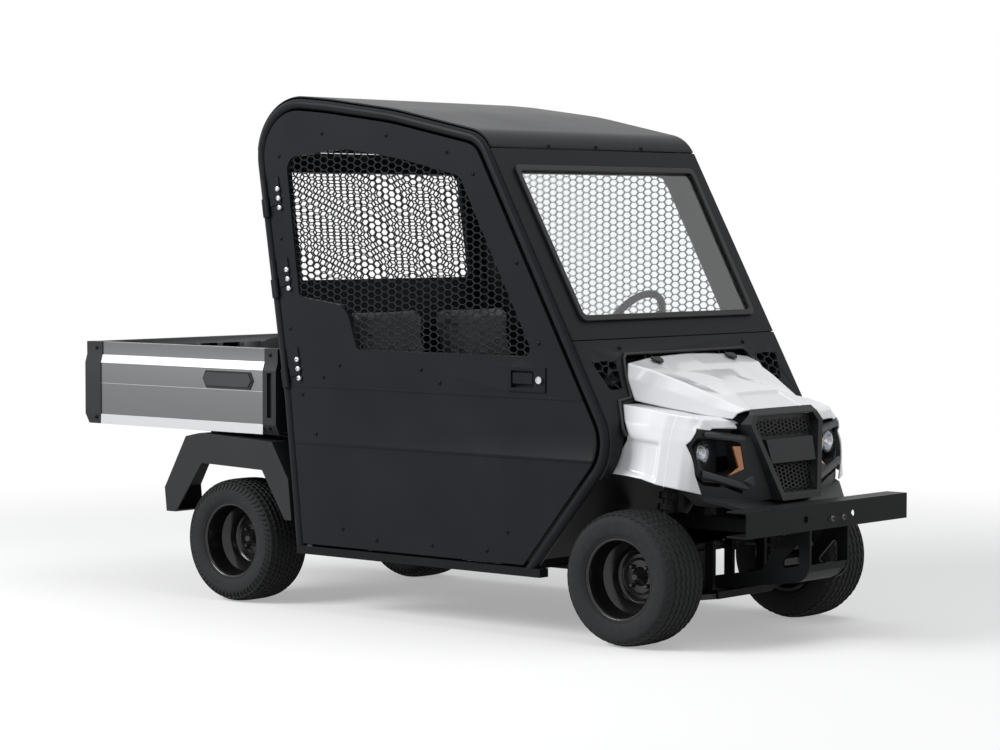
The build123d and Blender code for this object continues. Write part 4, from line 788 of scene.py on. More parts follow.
# Wheel from the hub cap's tip out to the rolled lip, then back along the outside to the axle.
WHEEL_PROFILE = [(0.0, 0.004), (0.011, 0.004), (0.015, 0.001), (0.024, -0.018), (0.031, -0.026), (0.034, -0.030),
                 (0.036, -0.034), (0.060, -0.034), (0.066, -0.038), (0.070, -0.041), (0.082, -0.041),
                 (0.086, -0.037), (0.089, -0.032), (0.092, -0.030), (0.096, -0.033), (0.099, -0.031),
                 (0.103, -0.020), (0.107, -0.010), (0.110, -0.006), (0.118, 0.004), (0.126, 0.012),
                 (0.132, 0.018), (0.134, 0.028), (0.138, 0.078), (0.1405, 0.091), (0.1440, 0.0970),
                 (0.1480, 0.0992), (0.1512, 0.0985), (0.1525, 0.0960), (0.1510, 0.0930), (0.147, 0.091),
                 (0.1445, 0.084), (0.143, 0.030), (0.132, 0.006), (0.118, -0.008), (0.118, -0.050),
                 (0.132, -0.070), (0.136, -0.090), (0.1420, -0.094), (0.1420, -0.098), (0.130, -0.096),
                 (0.128, -0.075), (0.112, -0.056), (0.100, -0.050), (0.040, -0.052), (0.0, -0.052)]


def tyre_line():
    """Outer profile of the tyre from bead to bead, with its running length and inward normals."""
    half = curve_through(TYRE_PROFILE, 0.0012)
    line = np.concatenate([half, (half * (1, -1))[-2::-1]])
    tangent = unit(np.gradient(line, axis=0))
    return line, running_length(line), np.stack([tangent[:, 1], -tangent[:, 0]], 1)


def zigzag(turn, waves):
    """Triangle wave between -1 and 1."""
    return 2.0 * np.abs(2.0 * ((turn * waves) % 1.0) - 1.0) - 1.0


def tyre_shape(lines, turns, sway, depth):
    """Tyre skin on a grid: lines are running lengths across the tyre, turns are shares of a turn
    for each line, sway moves a line sideways and depth sinks it along the skin's normal."""
    line, length, inward = tyre_line()
    at = np.clip(lines[:, None] + sway, 0.0, length[-1])
    radius, along = (np.interp(at, length, line[:, i]) - depth * np.interp(at, length, inward[:, i]) for i in (0, 1))
    angle = 2.0 * np.pi * turns
    skin = np.stack([radius * np.cos(angle), along, radius * np.sin(angle)], -1)
    inner = TYRE_INSIDE * np.stack([np.cos(angle[0]), np.zeros(skin.shape[1]), np.sin(angle[0])], -1)
    points = np.concatenate([skin, np.stack([inner + (0.0, y, 0.0) for y in (-BEAD_REACH, BEAD_REACH)])])
    faces = grid_faces(len(points), skin.shape[1], True, True)
    points = points.reshape(-1, 3)
    points[:, ::2] *= TYRE_RADIUS / np.hypot(points[:, 0], points[:, 2]).max()
    return points, faces


def groove_lines(centres, width, wall, plain):
    """The grid's lines across the tyre in order, two down each wall of every groove and the plain
    ones between, with how deep each lies as a share of a groove's depth."""
    offsets = np.array([-width / 2 - wall, -width / 2, width / 2, width / 2 + wall])
    lines = np.concatenate([(centres[:, None] + offsets).reshape(-1), plain])
    sunk = np.concatenate([np.tile([0.0, 1.0, 1.0, 0.0], len(centres)), np.zeros(len(plain))])
    order = np.argsort(lines)
    return lines[order], sunk[order]


def highway_tread():
    """Front tyre: thin zigzag grooves round a crowned tread and a saw-toothed shoulder step."""
    total = tyre_line()[1][-1]
    middle, pitch, edge = total / 2, 0.028, 0.116
    groove_width, groove_wall, groove_depth = 0.0028, 0.0008, 0.0045
    waves, swing, step_depth = 52, 0.0044, 0.0022
    turns = np.linspace(0.0, 1.0, 480, endpoint=False)
    plain = np.concatenate([np.linspace(0.0, middle - edge, 26), middle + pitch * np.arange(-3, 4),
                            np.linspace(middle + edge, total, 26)])
    lines, sunk = groove_lines(middle + pitch * np.arange(-3.5, 4.0), groove_width, groove_wall, plain)
    off = np.abs(lines - middle)
    reach = np.clip((0.118 - off) / 0.010, 0.0, 1.0)
    sway = swing * reach[:, None] * zigzag(turns, waves)[None, :]
    step = step_depth * np.clip((off - 0.1000) / 0.0008, 0.0, 1.0) * np.clip((0.130 - off) / 0.02, 0.0, 1.0)
    depth = np.broadcast_to((groove_depth * sunk + step)[:, None], sway.shape)
    return tyre_shape(lines, np.broadcast_to(turns, sway.shape), sway, depth)


def turf_tread():
    """Rear tyre: rows of small staggered blocks, slanting together, and lugs round the shoulder."""
    total = tyre_line()[1][-1]
    middle, pitch, edge, count = total / 2, 0.0222, 0.132, 66
    groove_width, groove_wall, groove_depth, slant = 0.0040, 0.0014, 0.0050, 0.36
    within = np.array([0.02, 0.10, 0.50, 0.90, 0.98])
    turns = ((np.arange(count)[:, None] + within) / count).reshape(-1)
    cross = np.tile([1.0, 0.0, 0.0, 0.0, 1.0], count)
    rows = np.arange(-4.5, 5.0) * pitch
    plain = np.concatenate([np.linspace(0.0, middle - edge, 22), middle + rows[:-1] + pitch / 2,
                            middle + np.array([-0.126, -0.118, -0.109, 0.109, 0.118, 0.126]),
                            np.linspace(middle + edge, total, 22)])
    lines, sunk = groove_lines(middle + rows, groove_width, groove_wall, plain)
    off = lines - middle
    row = np.floor(off / pitch + 0.5)
    shift = slant * np.where(off > 0, row, -row) / count
    fade = np.clip((0.129 - np.abs(off)) / 0.004, 0.0, 1.0)
    cut = np.maximum(sunk[:, None], cross[None, :] * fade[:, None])
    return tyre_shape(lines, turns[None, :] + shift[:, None], 0.0, groove_depth * cut)


WHEELS = {
    "front_right": (2.0, -1), "front_left": (2.0, 1), "rear_right": (0.0, -1), "rear_left": (0.0, 1),
}
HALF_TRACK, AXLE_HEIGHT = 0.53, 0.25
LUG_NUT = [(0.0, 0.016), (0.005, 0.016), (0.0062, 0.0150), (0.0085, 0.0120), (0.0095, 0.0100), (0.0095, -0.002)]
LUG_CIRCLE, LUG_SEAT = 0.048, -0.034
# The tyres hide the tips of these nodes, which end this far from the cart's middle.
SHORTENED, TIP_REACH = ("steer_knuckle_right", "steer_knuckle_left", "rear_axle"), 0.485


def shortened(node, reach):
    """A copy of a node cut back to a reach either side of the cart's middle stands for it."""
    made = rounded_node(node, 0.001)
    places = corners_of(made.data)
    places[:, 1] = np.clip(places[:, 1], -reach, reach)
    made.data.vertices.foreach_set("co", places.reshape(-1))


class CART_OT_wheels(bpy.types.Operator):
    """Treaded tyres, rolled rim lips, stepped wheel discs, lug nuts and hub caps"""

    bl_idname = "cart.wheels"
    bl_label = "Tyres and wheels"

    def execute(self, context):
        treads = {"front": highway_tread(), "rear": turf_tread()}
        turn = np.radians(45.0 + 90.0 * np.arange(4))
        for name, (x, side) in WHEELS.items():
            body, out = f"wheel_{name}", (0.0, side, 0.0)
            points, faces = treads[name.split("_")[0]]
            centre = np.array([x, side * HALF_TRACK, AXLE_HEIGHT])
            place_piece(f"tyre_{name}_treaded", points + centre, faces, "tyre", body, 32.0, (f"tyre_{name}",))
            copies(f"wheel_{name}_turned", turned(WHEEL_PROFILE, 96), centre, out, "wheel_black", body, 32.0,
                   (f"wheel_{name}",))
            spots = np.stack([LUG_CIRCLE * np.cos(turn), np.full(4, side * LUG_SEAT), LUG_CIRCLE * np.sin(turn)], 1)
            copies(f"lug_nuts_{name}", turned(LUG_NUT, 6), centre + spots, out, "nut", body, 25.0)
        for node in SHORTENED:
            shortened(node, TIP_REACH)
        return {"FINISHED"}


# ---------------------------------------------------------------- fasteners
DOOR_SCREWS = [(0.534, 1.893), (0.875, 1.880), (1.187, 1.812), (1.318, 1.729), (0.300, 1.806), (0.312, 1.480),
               (1.533, 1.397), (0.361, 1.123), (1.640, 1.100), (0.629, 0.985), (0.541, 0.937), (1.056, 0.984),
               (1.152, 0.936), (0.429, 0.865), (0.501, 0.711), (0.647, 0.344), (0.826, 0.312), (1.114, 0.313),
               (1.389, 0.313), (1.490, 0.391)]
HINGE_HEIGHTS = np.array([1.640, 1.320, 0.965])
HINGE_AHEAD, BOLT_PITCH, BOLT_RADIUS = 0.090, 0.037, 0.0115
# Half widths at which the door's screws and its hinge bolts sit, and the place of its lock.
SCREW_Y, HINGE_Y, LOCK = 0.650, 0.6575, (1.652, 0.662, 0.965)
# Square out of the cab's sloping front: its X and Z.
SLOPE_X, SLOPE_Z = 0.87354, 0.48675
FRONT_SCREWS = [(1.3915, -0.290, 1.8395), (1.3915, 0.000, 1.8395), (1.3915, 0.290, 1.8395),
                (1.8145, -0.387, 1.0800), (1.8145, 0.400, 1.0800)]
SCREW_PROFILE = np.array([(0.0, 0.30), (0.42, 0.30), (0.48, 0.62), (0.78, 0.50), (0.97, 0.20), (1.0, -0.3)])
KEY_RIM = [(0.0, 0.004), (0.0095, 0.004), (0.0100, 0.0055), (0.0125, 0.0055), (0.0140, 0.0040), (0.0142, -0.004)]
KEY_PLUG = [(0.0, 0.0052), (0.0018, 0.0050), (0.0020, 0.0030)]


def screw_head(radius):
    """Round-headed screw with a socket sunk in its top."""
    return turned(SCREW_PROFILE * radius, 12)


class CART_OT_fasteners(bpy.types.Operator):
    """Screws round the doors, cowl and roof, and the silver hinge bolts"""

    bl_idname = "cart.fasteners"
    bl_label = "Fasteners"

    def execute(self, context):
        head = screw_head(context.scene.cart_sizes.screw_radius)
        heights = (HINGE_HEIGHTS[:, None] + BOLT_PITCH * np.array([1.0, 0.0, -1.0])).reshape(-1)
        hinge_x = POST_FOOT[0] + HINGE_AHEAD - (heights - POST_FOOT[2]) * POST_LEAN
        for side, word in SIDES:
            out, body = (0.0, side, 0.0), f"door_{word}"
            spots = np.array([(x, side * SCREW_Y, z) for x, z in DOOR_SCREWS])
            copies(f"door_screws_{word}", head, spots, out, "screw", body)
            bolts = np.stack([hinge_x, np.full(len(heights), side * HINGE_Y), heights], 1)
            copies(f"hinge_bolts_{word}", screw_head(BOLT_RADIUS), bolts, out, "bolt", body)
            points, faces = joined(*(set_at(turned(shape, sides), np.multiply(LOCK, (1, side, 1)), out)
                                     for shape, sides in ((KEY_RIM, 28), (KEY_PLUG, 8))))
            place_piece(f"door_key_{word}", points, faces, "bolt", body, 30.0)
        copies("cab_front_screws", head, FRONT_SCREWS, (SLOPE_X, 0.0, SLOPE_Z), "screw", "chassis")
        return {"FINISHED"}


# ---------------------------------------------------------------- hood and fenders
# Half sections of the hood at stations ahead of the front axle: middle, spine's edge, valley,
# ridge, lower edge of the slanting side, skirt.
FRONT_AXLE = 2.0
HOOD_ROWS = [
    (-0.200, (0.000, 1.066), (0.120, 1.064), (0.270, 1.057), (0.400, 1.038), (0.452, 0.990), (0.505, 0.912)),
    (-0.082, (0.000, 1.010), (0.115, 1.008), (0.245, 1.006), (0.362, 1.008), (0.408, 0.964), (0.440, 0.894)),
    (-0.045, (0.000, 0.991), (0.110, 0.990), (0.220, 0.990), (0.332, 0.991), (0.370, 0.945), (0.418, 0.885)),
    (0.035, (0.000, 0.962), (0.060, 0.962), (0.180, 0.944), (0.296, 0.961), (0.338, 0.918), (0.370, 0.865)),
    (0.165, (0.000, 0.917), (0.150, 0.915), (0.195, 0.907), (0.238, 0.901), (0.270, 0.867), (0.290, 0.838)),
    (0.280, (0.000, 0.853), (0.130, 0.852), (0.165, 0.851), (0.186, 0.850), (0.205, 0.838), (0.211, 0.820)),
]
# Half sections of the fender: inner edge beside the hood, shoulder, second crease, step, lower edge.
FENDER_ROWS = [
    (-0.100, (0.397, 0.885), (0.517, 0.885), (0.560, 0.829), (0.578, 0.792), (0.578, 0.633)),
    (0.060, (0.330, 0.855), (0.499, 0.865), (0.528, 0.811), (0.540, 0.770), (0.574, 0.620)),
    (0.120, (0.290, 0.842), (0.488, 0.853), (0.514, 0.801), (0.527, 0.762), (0.564, 0.600)),
    (0.195, (0.248, 0.832), (0.442, 0.842), (0.475, 0.797), (0.494, 0.759), (0.530, 0.584)),
    (0.225, (0.215, 0.818), (0.405, 0.832), (0.458, 0.792), (0.478, 0.756), (0.495, 0.574)),
    (0.245, (0.190, 0.788), (0.385, 0.800), (0.430, 0.780), (0.455, 0.745), (0.430, 0.558)),
]
# How far out from the origin, square to the cab's slope, the skins, the seal and the vents lie.
COWL_LIMIT, SEAL_LIMIT, VENT_LIMIT = 2.1154, 2.1130, 2.1104
STEP_HEIGHT, NOSE_END, FENDER_TUCK, SKIN_WALL = 0.775, 0.244, 1.1, 0.006
PANEL_DEPTH, HOLLOW_DEPTH = 0.007, 0.012


def slope_x(limit, height):
    """X at a height on the plane square to the cab's slope: limit = SLOPE_X x + SLOPE_Z z."""
    return (limit - SLOPE_Z * height) / SLOPE_X


def rounded_sheet(rows, counts, front, soften_along, tuck=0.0):
    """Creased sheet between its sections: each corner line runs straight from section to section,
    each strip between two corner lines is divided evenly, every line starts at the cowl's plane, or
    the tuck behind it for each metre below the step, ends at the front limit for its half width, and
    a Gaussian average softens the creases."""
    stations = np.array([row[0] for row in rows])
    sections = np.array([row[1:] for row in rows])
    parts = [np.linspace(i, i + 1, count, endpoint=False) for i, count in enumerate(counts)]
    across = np.concatenate(parts + [[float(len(counts))]])
    index = np.clip(across.astype(int), 0, sections.shape[1] - 2)
    lines, share = np.arange(len(across)), np.linspace(0.0, 1.0, 92)

    def section_at(x):
        """Half width and height where each line stands at its own station x."""
        corners = np.stack([[np.interp(x, stations, sections[:, c, k]) for c in range(sections.shape[1])]
                            for k in (0, 1)], -1)
        low, high = corners[index, lines], corners[index + 1, lines]
        return low + (high - low) * (across - index)[:, None]

    rear, ahead = np.full(len(across), -0.15), np.full(len(across), 0.25)
    for _ in range(12):
        height = section_at(rear)[:, 1]
        rear = slope_x(COWL_LIMIT, height) - FRONT_AXLE - tuck * np.maximum(0.0, STEP_HEIGHT - height)
        ahead = front(section_at(ahead)[:, 0])
    x = rear[:, None] + (ahead - rear)[:, None] * share
    half = np.stack([section_at(x[:, i]) for i in range(len(share))], 1)
    sheet = np.concatenate([x[..., None] + FRONT_AXLE, half], -1)
    return softened(softened(sheet, 1, soften_along), 0, 1.0)


def softened(sheet, axis, spread):
    """Gaussian average along one direction of a grid; the edges stay where they are."""
    reach = int(3 * spread)
    weights = np.exp(-0.5 * (np.arange(-reach, reach + 1) / spread) ** 2)
    weights /= weights.sum()
    moved = np.moveaxis(sheet, axis, 0)
    before = 2 * moved[:1] - moved[reach:0:-1]
    after = 2 * moved[-1:] - moved[-2:-reach - 2:-1]
    padded = np.concatenate([before, moved, after])
    mixed = sum(weight * padded[i:i + len(moved)] for i, weight in enumerate(weights))
    return np.moveaxis(mixed, 0, axis)


def hood_front(half_width):
    """Front limit of the hood ahead of the axle for a half width, cut back at the corners."""
    return np.interp(half_width, [0.0, 0.192, 0.250, 0.600], [0.262, 0.262, 0.228, 0.112])


def smooth_step(value, low, high):
    """0 below low, 1 above high, a smooth ramp between."""
    share = np.clip((value - low) / (high - low), 0.0, 1.0)
    return share * share * (3.0 - 2.0 * share)


def skin(name, sheet, body, stands_for, cuts=()):
    """A white sheet with its cuts made and a wall thickness grown inwards."""
    points, faces = sheet.reshape(-1, 3), grid_faces(*sheet.shape[:2])
    made = place_piece(name, points, faces, "hood_white", body, 180.0, stands_for)
    if sum(face.normal.z * face.area for face in made.data.polygons) < 0:
        made.data.flip_normals()
    for outline in cuts:
        cut_away(made, outline)
    wall = made.modifiers.new("wall", "SOLIDIFY")
    wall.thickness, wall.offset, wall.use_even_offset = SKIN_WALL, -1.0, True


def cut_away(made, outline):
    """Split a skin along an outline seen from the front, and drop what is inside it ahead of CUT_BEYOND."""
    limit = CUT_BEYOND - FRAME_SHIFT[0]

    def split(shape, place, normal):
        """Cut edges and faces where a plane crosses them."""
        everything = shape.verts[:] + shape.edges[:] + shape.faces[:]
        bmesh.ops.bisect_plane(shape, geom=everything, plane_co=place, plane_no=normal)

    def cut(shape):
        """Split along every side of the outline and at the limit, then drop the middle."""
        for (ya, za), (yb, zb) in zip(outline, np.roll(outline, -1, 0)):
            split(shape, (0.0, ya, za), (0.0, zb - za, ya - yb))
        split(shape, (limit, 0, 0), (1, 0, 0))
        centres = np.array([face.calc_center_median() for face in shape.faces])
        gone = inside(centres[:, 1:], outline) & (centres[:, 0] > limit)
        bmesh.ops.delete(shape, geom=[face for face, drop in zip(shape.faces[:], gone) if drop], context="FACES")

    reworked(made.data, cut)
    made.data.shade_smooth()


# The fenders are cut away inside these outlines, given as on the right one, ahead of the station.
CUT_BEYOND = 2.146
BEZEL_CUT = np.array([(-0.100, 0.500), (-0.100, 0.640), (-0.205, 0.763), (-0.238, 0.771), (-0.451, 0.802),
                      (-0.493, 0.744), (-0.479, 0.668), (-0.475, 0.634), (-0.447, 0.561), (-0.360, 0.500)])
NOSE_CUT = np.array([(-0.300, 0.40), (0.0, 0.40), (0.0, 0.810), (-0.230, 0.810)])
CLIP = [(0.018, -0.022), (0.026, -0.030), (0.044, -0.026), (0.060, -0.010), (0.060, 0.010), (0.044, 0.026),
        (0.026, 0.030), (0.018, 0.022)]


def spine_panel(x, y):
    """0 to 1 where the hood's sunk middle panel lies, which widens forwards."""
    reach = 0.138 + (x - 2.168) * 0.26
    along = smooth_step(x, 2.160, 2.176) * (1.0 - smooth_step(x, 2.262, 2.275))
    return along * (1.0 - smooth_step(y, reach - 0.012, reach))


def wheel_hollow(x, z):
    """0 to 1 where the fender's side is hollow over the wheel, between two slanting edges."""
    low, high = (x - 1.93) * 0.20, (x - 1.97) * 0.12
    between = smooth_step(z, 0.642 - low, 0.660 - low) * (1.0 - smooth_step(z, 0.752 - high, 0.772 - high))
    return (1.0 - smooth_step(x, 2.098, 2.118)) * between


class CART_OT_hood(bpy.types.Operator):
    """Hood with rounded creases, its black clips, and the front fenders"""

    bl_idname = "cart.hood"
    bl_label = "Hood and fenders"

    def execute(self, context):
        half = rounded_sheet(HOOD_ROWS, (24, 20, 22, 16, 16), hood_front, 1.3)
        half[..., 2] -= PANEL_DEPTH * spine_panel(half[..., 0], half[..., 1])
        skin("hood_skin", np.concatenate([(half * (1, -1, 1))[::-1], half[1:]]), "hood", ("hood",))
        slab_pair("hood_clip", CLIP, (1.842, -0.235, 1.0475), unit([1.0, 0.0, -0.47]), (0, 1, 0), 0.007,
                  "moulding_black", "hood", 0.002)
        fender = rounded_sheet(FENDER_ROWS, (26, 14, 12, 34), lambda half_width: np.full(len(half_width), NOSE_END),
                               1.0, FENDER_TUCK)
        fender[..., 1] -= HOLLOW_DEPTH * wheel_hollow(fender[..., 0], fender[..., 2])
        for side, word in SIDES:
            skin(f"front_fender_{word}_skin", fender * (1, side, 1), "chassis", (f"front_fender_{word}",),
                 [outline * (-side, 1) for outline in (BEZEL_CUT, NOSE_CUT)])
        return {"FINISHED"}


# ---------------------------------------------------------------- lamps and nose
# Each part of a headlamp: its (radius, ahead) profile, its finish and the nodes that it stands for.
HEADLAMP = {
    "lamp_reflectors": ([(0.0, 0.004), (0.010, 0.005), (0.020, 0.009), (0.030, 0.015), (0.037, 0.021),
                         (0.0405, 0.025), (0.0405, 0.004), (0.0405, 0.0)], "reflector", ()),
    "lamp_rings": ([(0.0405, 0.0), (0.0460, 0.0), (0.0460, 0.027), (0.0445, 0.0295), (0.0415, 0.0295),
                    (0.0400, 0.026)], "moulding_black", ("headlamps",)),
    "lamp_glass": ([(0.0, 0.0375), (0.012, 0.0368), (0.024, 0.0345), (0.034, 0.0305), (0.0402, 0.0265),
                    (0.0402, 0.0245), (0.0335, 0.0288), (0.024, 0.0327), (0.012, 0.0350), (0.0, 0.0357)],
                   "glass", ()),
    "lamp_shields": ([(0.0, 0.020), (0.008, 0.020), (0.010, 0.018), (0.010, 0.004)], "bolt", ()),
}
HEADLAMP_SPOTS = [(2.186, -0.405, 0.709), (2.186, 0.405, 0.709)]
NOSE_SWEEP, NOSE_FACE = unit([-0.196, -1.0, 0.0]), 2.2385
# Each plate of the nose: its right outline along the swept face and up, how far it stands out, its
# thickness, its finish, its rounding and the node that it stands for.
NOSE_PLATES = {
    "signal": ([(0.302, 0.731), (0.254, 0.730), (0.212, 0.640), (0.276, 0.614), (0.325, 0.622), (0.272, 0.652)],
               0.090, 0.010, "lamp_amber", 0.002, ("turn_signals",)),
    # The bezel bars and chin blocks take the badge finish, paler than the black moulding as painted light on their
    # lit faces.
    "bezel_top": ([(0.440, 0.790), (0.245, 0.770), (0.230, 0.742), (0.440, 0.768)], 0.094, 0.016, "badge", 0.008, ()),
    "bezel_low": ([(0.452, 0.653), (0.437, 0.648), (0.256, 0.598), (0.168, 0.552), (0.250, 0.566), (0.437, 0.618),
                   (0.452, 0.622)], 0.096, 0.016, "badge", 0.008, ()),
    "chin_block": ([(0.262, 0.600), (0.188, 0.634), (0.128, 0.590), (0.168, 0.552)], 0.100, 0.016, "badge", 0.008,
                   ()),
}


class CART_OT_lamps(bpy.types.Operator):
    """Headlamps with reflectors and glass, amber chevrons and the chin blocks"""

    bl_idname = "cart.lamps"
    bl_label = "Lamps"

    def execute(self, context):
        for name, (profile, slot, stands_for) in HEADLAMP.items():
            copies(name, turned(profile, 40), HEADLAMP_SPOTS, (1.0, 0.0, 0.0), slot, "chassis", 32.0, stands_for)
        for name, (outline, proud, thick, slot, bevel, stands_for) in NOSE_PLATES.items():
            slab_pair(name, outline, (NOSE_FACE + proud, 0.0, 0.0), NOSE_SWEEP, (0, 0, 1), thick, slot, "chassis",
                      bevel, stands_for)
        return {"FINISHED"}


# ---------------------------------------------------------------- bed
BADGE = np.array([(-0.140, 0.940), (-0.157, 0.906), (-0.136, 0.869), (0.114, 0.869), (0.135, 0.906),
                  (0.118, 0.940)])
# Each painted highlight strip along the bed side: its lower and upper edge as (half width, height).
BED_HIGHLIGHTS = {
    "bed_top_highlight": ((0.6285, 0.949), (0.6178, 0.984)), "bed_low_highlight": ((0.6300, 0.692), (0.6282, 0.733)),
    "bed_crease_highlight": ((0.6266, 0.8630), (0.6266, 0.8645)),
}
BED_REAR, BED_AHEAD, BAND_THICK, PLATE_THICK, CAP_SCREW = -0.7735, 0.1875, 0.002, 0.004, 0.008
CAP_SCREWS = np.array([(0.221, 0.628, 0.717), (-0.808, 0.628, 0.717), (0.221, 0.622, 1.012), (-0.808, 0.622, 1.012)])
# The headboard's slots, drawn as thin dark strips of painted shade: how many, their pitch, width and thickness, and
# their lower end, upper end and face.
SLOT_COUNT, SLOT_PITCH, SLOT_WIDTH, SLOT_THICK = 14, 0.079, 0.036, 0.001
SLOT_LOW, SLOT_HIGH, SLOT_X = 0.800, 0.990, 0.2292


class CART_OT_bed(bpy.types.Operator):
    """Painted highlight strips, bare badge plates, corner screws and painted shade strips in the headboard slots of
    the bed
    """

    bl_idname = "cart.bed"
    bl_label = "Bed trim"

    def execute(self, context):
        # Pale strips painted on the bed sides as the highlights of their chamfers and crease.
        for name, ((low_y, low_z), (high_y, high_z)) in BED_HIGHLIGHTS.items():
            rise = np.array([0.0, low_y - high_y, high_z - low_z])
            tall = np.linalg.norm(rise)
            slab_pair(name, [(BED_REAR, 0.0), (BED_AHEAD, 0.0), (BED_AHEAD, tall), (BED_REAR, tall)],
                      (0.0, -low_y, low_z), (1, 0, 0), rise / tall, BAND_THICK, "bed_bright", "bed", 0.0006)
        middle = BADGE.mean(0)
        for name, scale, lift, slot in (("badge_frame", 1.0, 0.6285, "moulding_black"),
                                        ("badge_face", (0.93, 0.76), 0.6325, "badge")):
            slab_pair(name, middle + (BADGE - middle) * scale, (0, -lift, 0), (1, 0, 0), (0, 0, 1), PLATE_THICK,
                      slot, "bed", 0.0012)
        for side, word in SIDES:
            copies(f"bed_cap_screws_{word}", screw_head(CAP_SCREW), CAP_SCREWS * (1, side, 1), (0.0, side, 0.0),
                   "screw", "bed")
        # Thin dark strips on the headboard's face, painted shade for the hollows of its slots.
        wide = SLOT_WIDTH / 2
        cell = np.array([(SLOT_X, y, z) for y, z in ((-wide, SLOT_LOW), (wide, SLOT_LOW), (wide, SLOT_HIGH),
                                                     (-wide, SLOT_HIGH))])
        shifts = np.zeros((SLOT_COUNT, 1, 3))
        shifts[:, 0, 1] = (np.arange(SLOT_COUNT) - (SLOT_COUNT - 1) / 2) * SLOT_PITCH
        points = (np.concatenate([cell, cell + (SLOT_THICK, 0.0, 0.0)]) + shifts).reshape(-1, 3)
        faces = np.array([(0, 1, 2, 3), (7, 6, 5, 4), (0, 4, 5, 1), (1, 5, 6, 2), (2, 6, 7, 3), (3, 7, 4, 0)])
        faces = (faces + 8 * np.arange(SLOT_COUNT)[:, None, None]).reshape(-1, 4)
        place_piece("headboard_slot_shade", points, faces, "seal_rubber", "bed", 30.0)
        return {"FINISHED"}


# ---------------------------------------------------------------- seats
# Each pad's node and the size of its grid before it swells. Cloth moves a pad by CAP at most.
PADS = {"seat_back_right": 0.007, "seat_back_left": 0.007, "seat_cushion": 0.013}
DRAWN_IN, CAP, CLOTH_STEPS = 0.016, 0.016, 20


class CART_OT_seats(bpy.types.Operator):
    """Seat backs and bench cushion, swollen by a cloth simulation"""

    bl_idname = "cart.seats"
    bl_label = "Seats"

    def execute(self, context):
        for node, voxel in PADS.items():
            stuffed(node, voxel)
        return {"FINISHED"}


def mesh_of(made):
    """The object's mesh with its modifiers worked in."""
    graph = bpy.context.evaluated_depsgraph_get()
    return bpy.data.meshes.new_from_object(made.evaluated_get(graph))


def stuffed(node, voxel):
    """A pad in a node's place: the shape drawn in, remeshed, blown up as cloth and capped."""
    source = NODES[node]
    made = linked(node + "_pad", source.data.copy())
    finish_mesh(made, 180.0)
    low, high = (np.array(corner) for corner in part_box(node))
    middle, size = (low + high) / 2, high - low
    places = middle + (corners_of(made.data) - middle) * (1.0 - DRAWN_IN / size)
    made.data.vertices.foreach_set("co", places.reshape(-1))
    remesh = made.modifiers.new("even grid", "REMESH")
    remesh.mode, remesh.voxel_size = "VOXEL", voxel
    soften = made.modifiers.new("soften", "SMOOTH")
    soften.factor, soften.iterations = 0.5, 8
    mesh = mesh_of(made)
    made.modifiers.clear()
    made.data = mesh
    rest = corners_of(mesh)
    cloth = made.modifiers.new("cloth", "CLOTH")
    cloth.settings.use_pressure = True
    cloth.settings.uniform_pressure_force = 4.0
    cloth.settings.effector_weights.gravity = 0.0
    for step in range(1, CLOTH_STEPS + 1):
        bpy.context.scene.frame_set(step)
    move = corners_of(mesh_of(made)) - rest
    made.modifiers.clear()
    bpy.context.scene.frame_set(1)
    length = np.linalg.norm(move, axis=1, keepdims=True)
    move *= np.minimum(1.0, CAP / np.maximum(length, 1e-9))
    mesh.vertices.foreach_set("co", (rest + move).reshape(-1))
    mesh.shade_smooth()
    finer = made.modifiers.new("finer", "SUBSURF")
    finer.levels = finer.render_levels = 1
    dress(made, "seat", body_of(source)[0], (node,))


# ---------------------------------------------------------------- small trim
# One half of the rubber seal where the hood meets the cowl: half width and height.
SEAL_HALF = np.array([(0.571, 0.770), (0.572, 0.797), (0.526, 0.893), (0.449, 0.902), (0.424, 0.985),
                      (0.392, 1.043), (0.372, 1.0575)])
VENT = np.array([(0.436, 1.041), (0.594, 1.041), (0.549, 0.928), (0.468, 0.928)])
VENT_LEVEL, VENT_GROWTH, VENT_BACK, SHADE_PLATE_THICK, SEAL_RADIUS = 0.98, 1.15, 0.036, 0.002, 0.0065
TOW_BOLTS, TOW_BOLT = [(2.498, 0.015, 0.458), (2.498, 0.088, 0.458)], 0.013


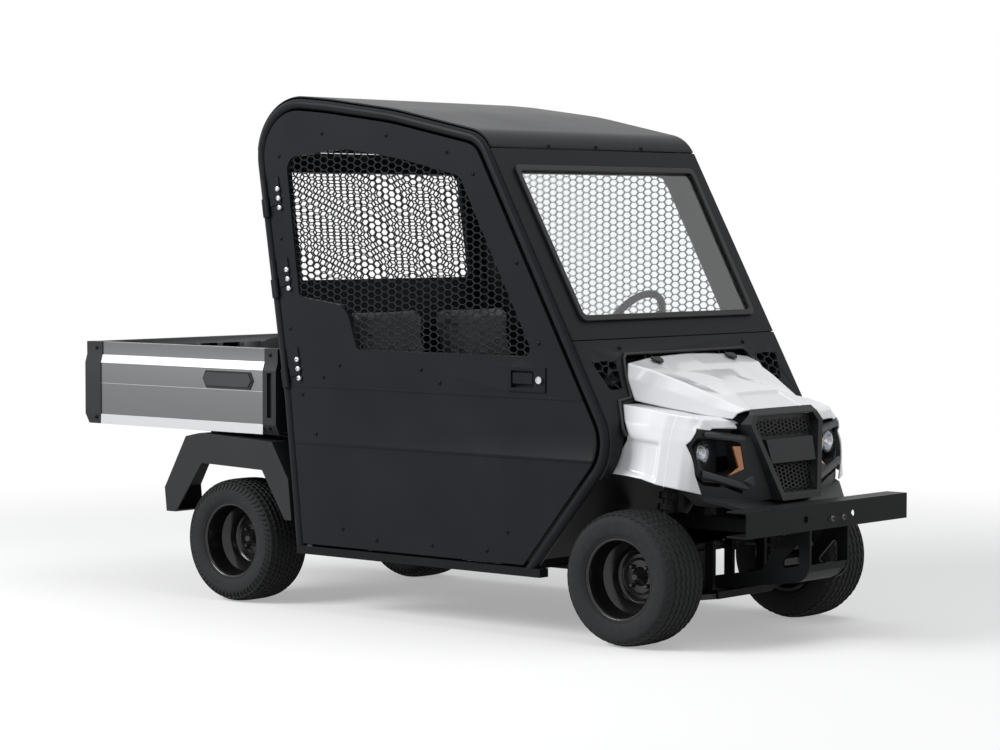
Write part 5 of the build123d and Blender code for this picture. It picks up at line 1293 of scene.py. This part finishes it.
class CART_OT_trim(bpy.types.Operator):
    """Cowl seal, dark plates of painted shade behind the grille and vents, a painted shade strip in the tow slot, and
    its bolts
    """

    bl_idname = "cart.trim"
    bl_label = "Small trim"

    def execute(self, context):
        mouth = np.concatenate([SEAL_HALF * (-1, 1), SEAL_HALF[::-1]])
        path = np.stack([slope_x(SEAL_LIMIT, mouth[:, 1]), mouth[:, 0], mouth[:, 1]], 1)
        place_piece("cowl_seal", *tube(path, SEAL_RADIUS, 12), "seal_rubber", "chassis", 40.0)
        # Dark plates behind the vents and the grille are painted shade, standing for the dark inside those openings.
        slope = unit([-SLOPE_Z, 0.0, SLOPE_X])
        grown = VENT.mean(0) + (VENT - VENT.mean(0)) * VENT_GROWTH
        corners = np.stack([-grown[:, 0], (grown[:, 1] - VENT_LEVEL) / slope[2]], 1)
        slab_pair("vent_shade_plate", corners, (slope_x(VENT_LIMIT, VENT_LEVEL) - VENT_BACK, 0.0, VENT_LEVEL),
                  (0, 1, 0), slope, SHADE_PLATE_THICK, "seal_rubber", "chassis")
        # The tow slot is a thin black strip proud of the bumper, painted shade for the slot.
        for name, (right, left), (low, high), x, thick, slot, bevel in (
                ("grille_shade_plate", (-0.140, 0.245), (0.615, 0.832), 2.2680, SHADE_PLATE_THICK, "seal_rubber", 0.0),
                ("tow_slot_shade", (-0.012, 0.113), (0.450, 0.466), 2.4975, 0.003, "screw", 0.001)):
            slab(name, [(right, low), (left, low), (left, high), (right, high)], (x, 0, 0), (0, 1, 0), (0, 0, 1),
                 thick, slot, "chassis", bevel)
        copies("tow_bolts", screw_head(TOW_BOLT), TOW_BOLTS, (1.0, 0.0, 0.0), "nut", "chassis")
        return {"FINISHED"}


class CART_PT_panel(bpy.types.Panel):
    """Lists the cart's settings and steps"""

    bl_idname = "CART_PT_panel"
    bl_label = "Utility cart"
    bl_space_type = "VIEW_3D"
    bl_region_type = "UI"
    bl_category = "Cart"

    def draw(self, context):
        for operator in OPERATORS:
            self.layout.operator(operator.bl_idname)
        for key in GROUPS:
            group = getattr(context.scene, key)
            for name in group.__annotations__:
                self.layout.prop(group, name)


GROUPS = {"cart_colours": CartColours, "cart_sizes": CartSizes, "cart_view": CartView}
OPERATORS = (CART_OT_stage, CART_OT_finishes, CART_OT_panels, CART_OT_meshes, CART_OT_wheels, CART_OT_fasteners,
             CART_OT_hood, CART_OT_lamps, CART_OT_bed, CART_OT_seats, CART_OT_trim)


def register():
    for made in (*GROUPS.values(), *OPERATORS, CART_PT_panel):
        bpy.utils.register_class(made)
    for name, group in GROUPS.items():
        setattr(bpy.types.Scene, name, PointerProperty(type=group))


def unregister():
    for name in GROUPS:
        delattr(bpy.types.Scene, name)
    for made in (CART_PT_panel, *reversed(OPERATORS), *reversed(GROUPS.values())):
        bpy.utils.unregister_class(made)


def main():
    """Build everything in order."""
    register()
    for step in (bpy.ops.cart.stage, bpy.ops.cart.finishes, bpy.ops.cart.panels, bpy.ops.cart.meshes,
                 bpy.ops.cart.wheels, bpy.ops.cart.fasteners, bpy.ops.cart.hood, bpy.ops.cart.lamps,
                 bpy.ops.cart.bed, bpy.ops.cart.seats, bpy.ops.cart.trim):
        step()


if __name__ == "__main__":
    main()
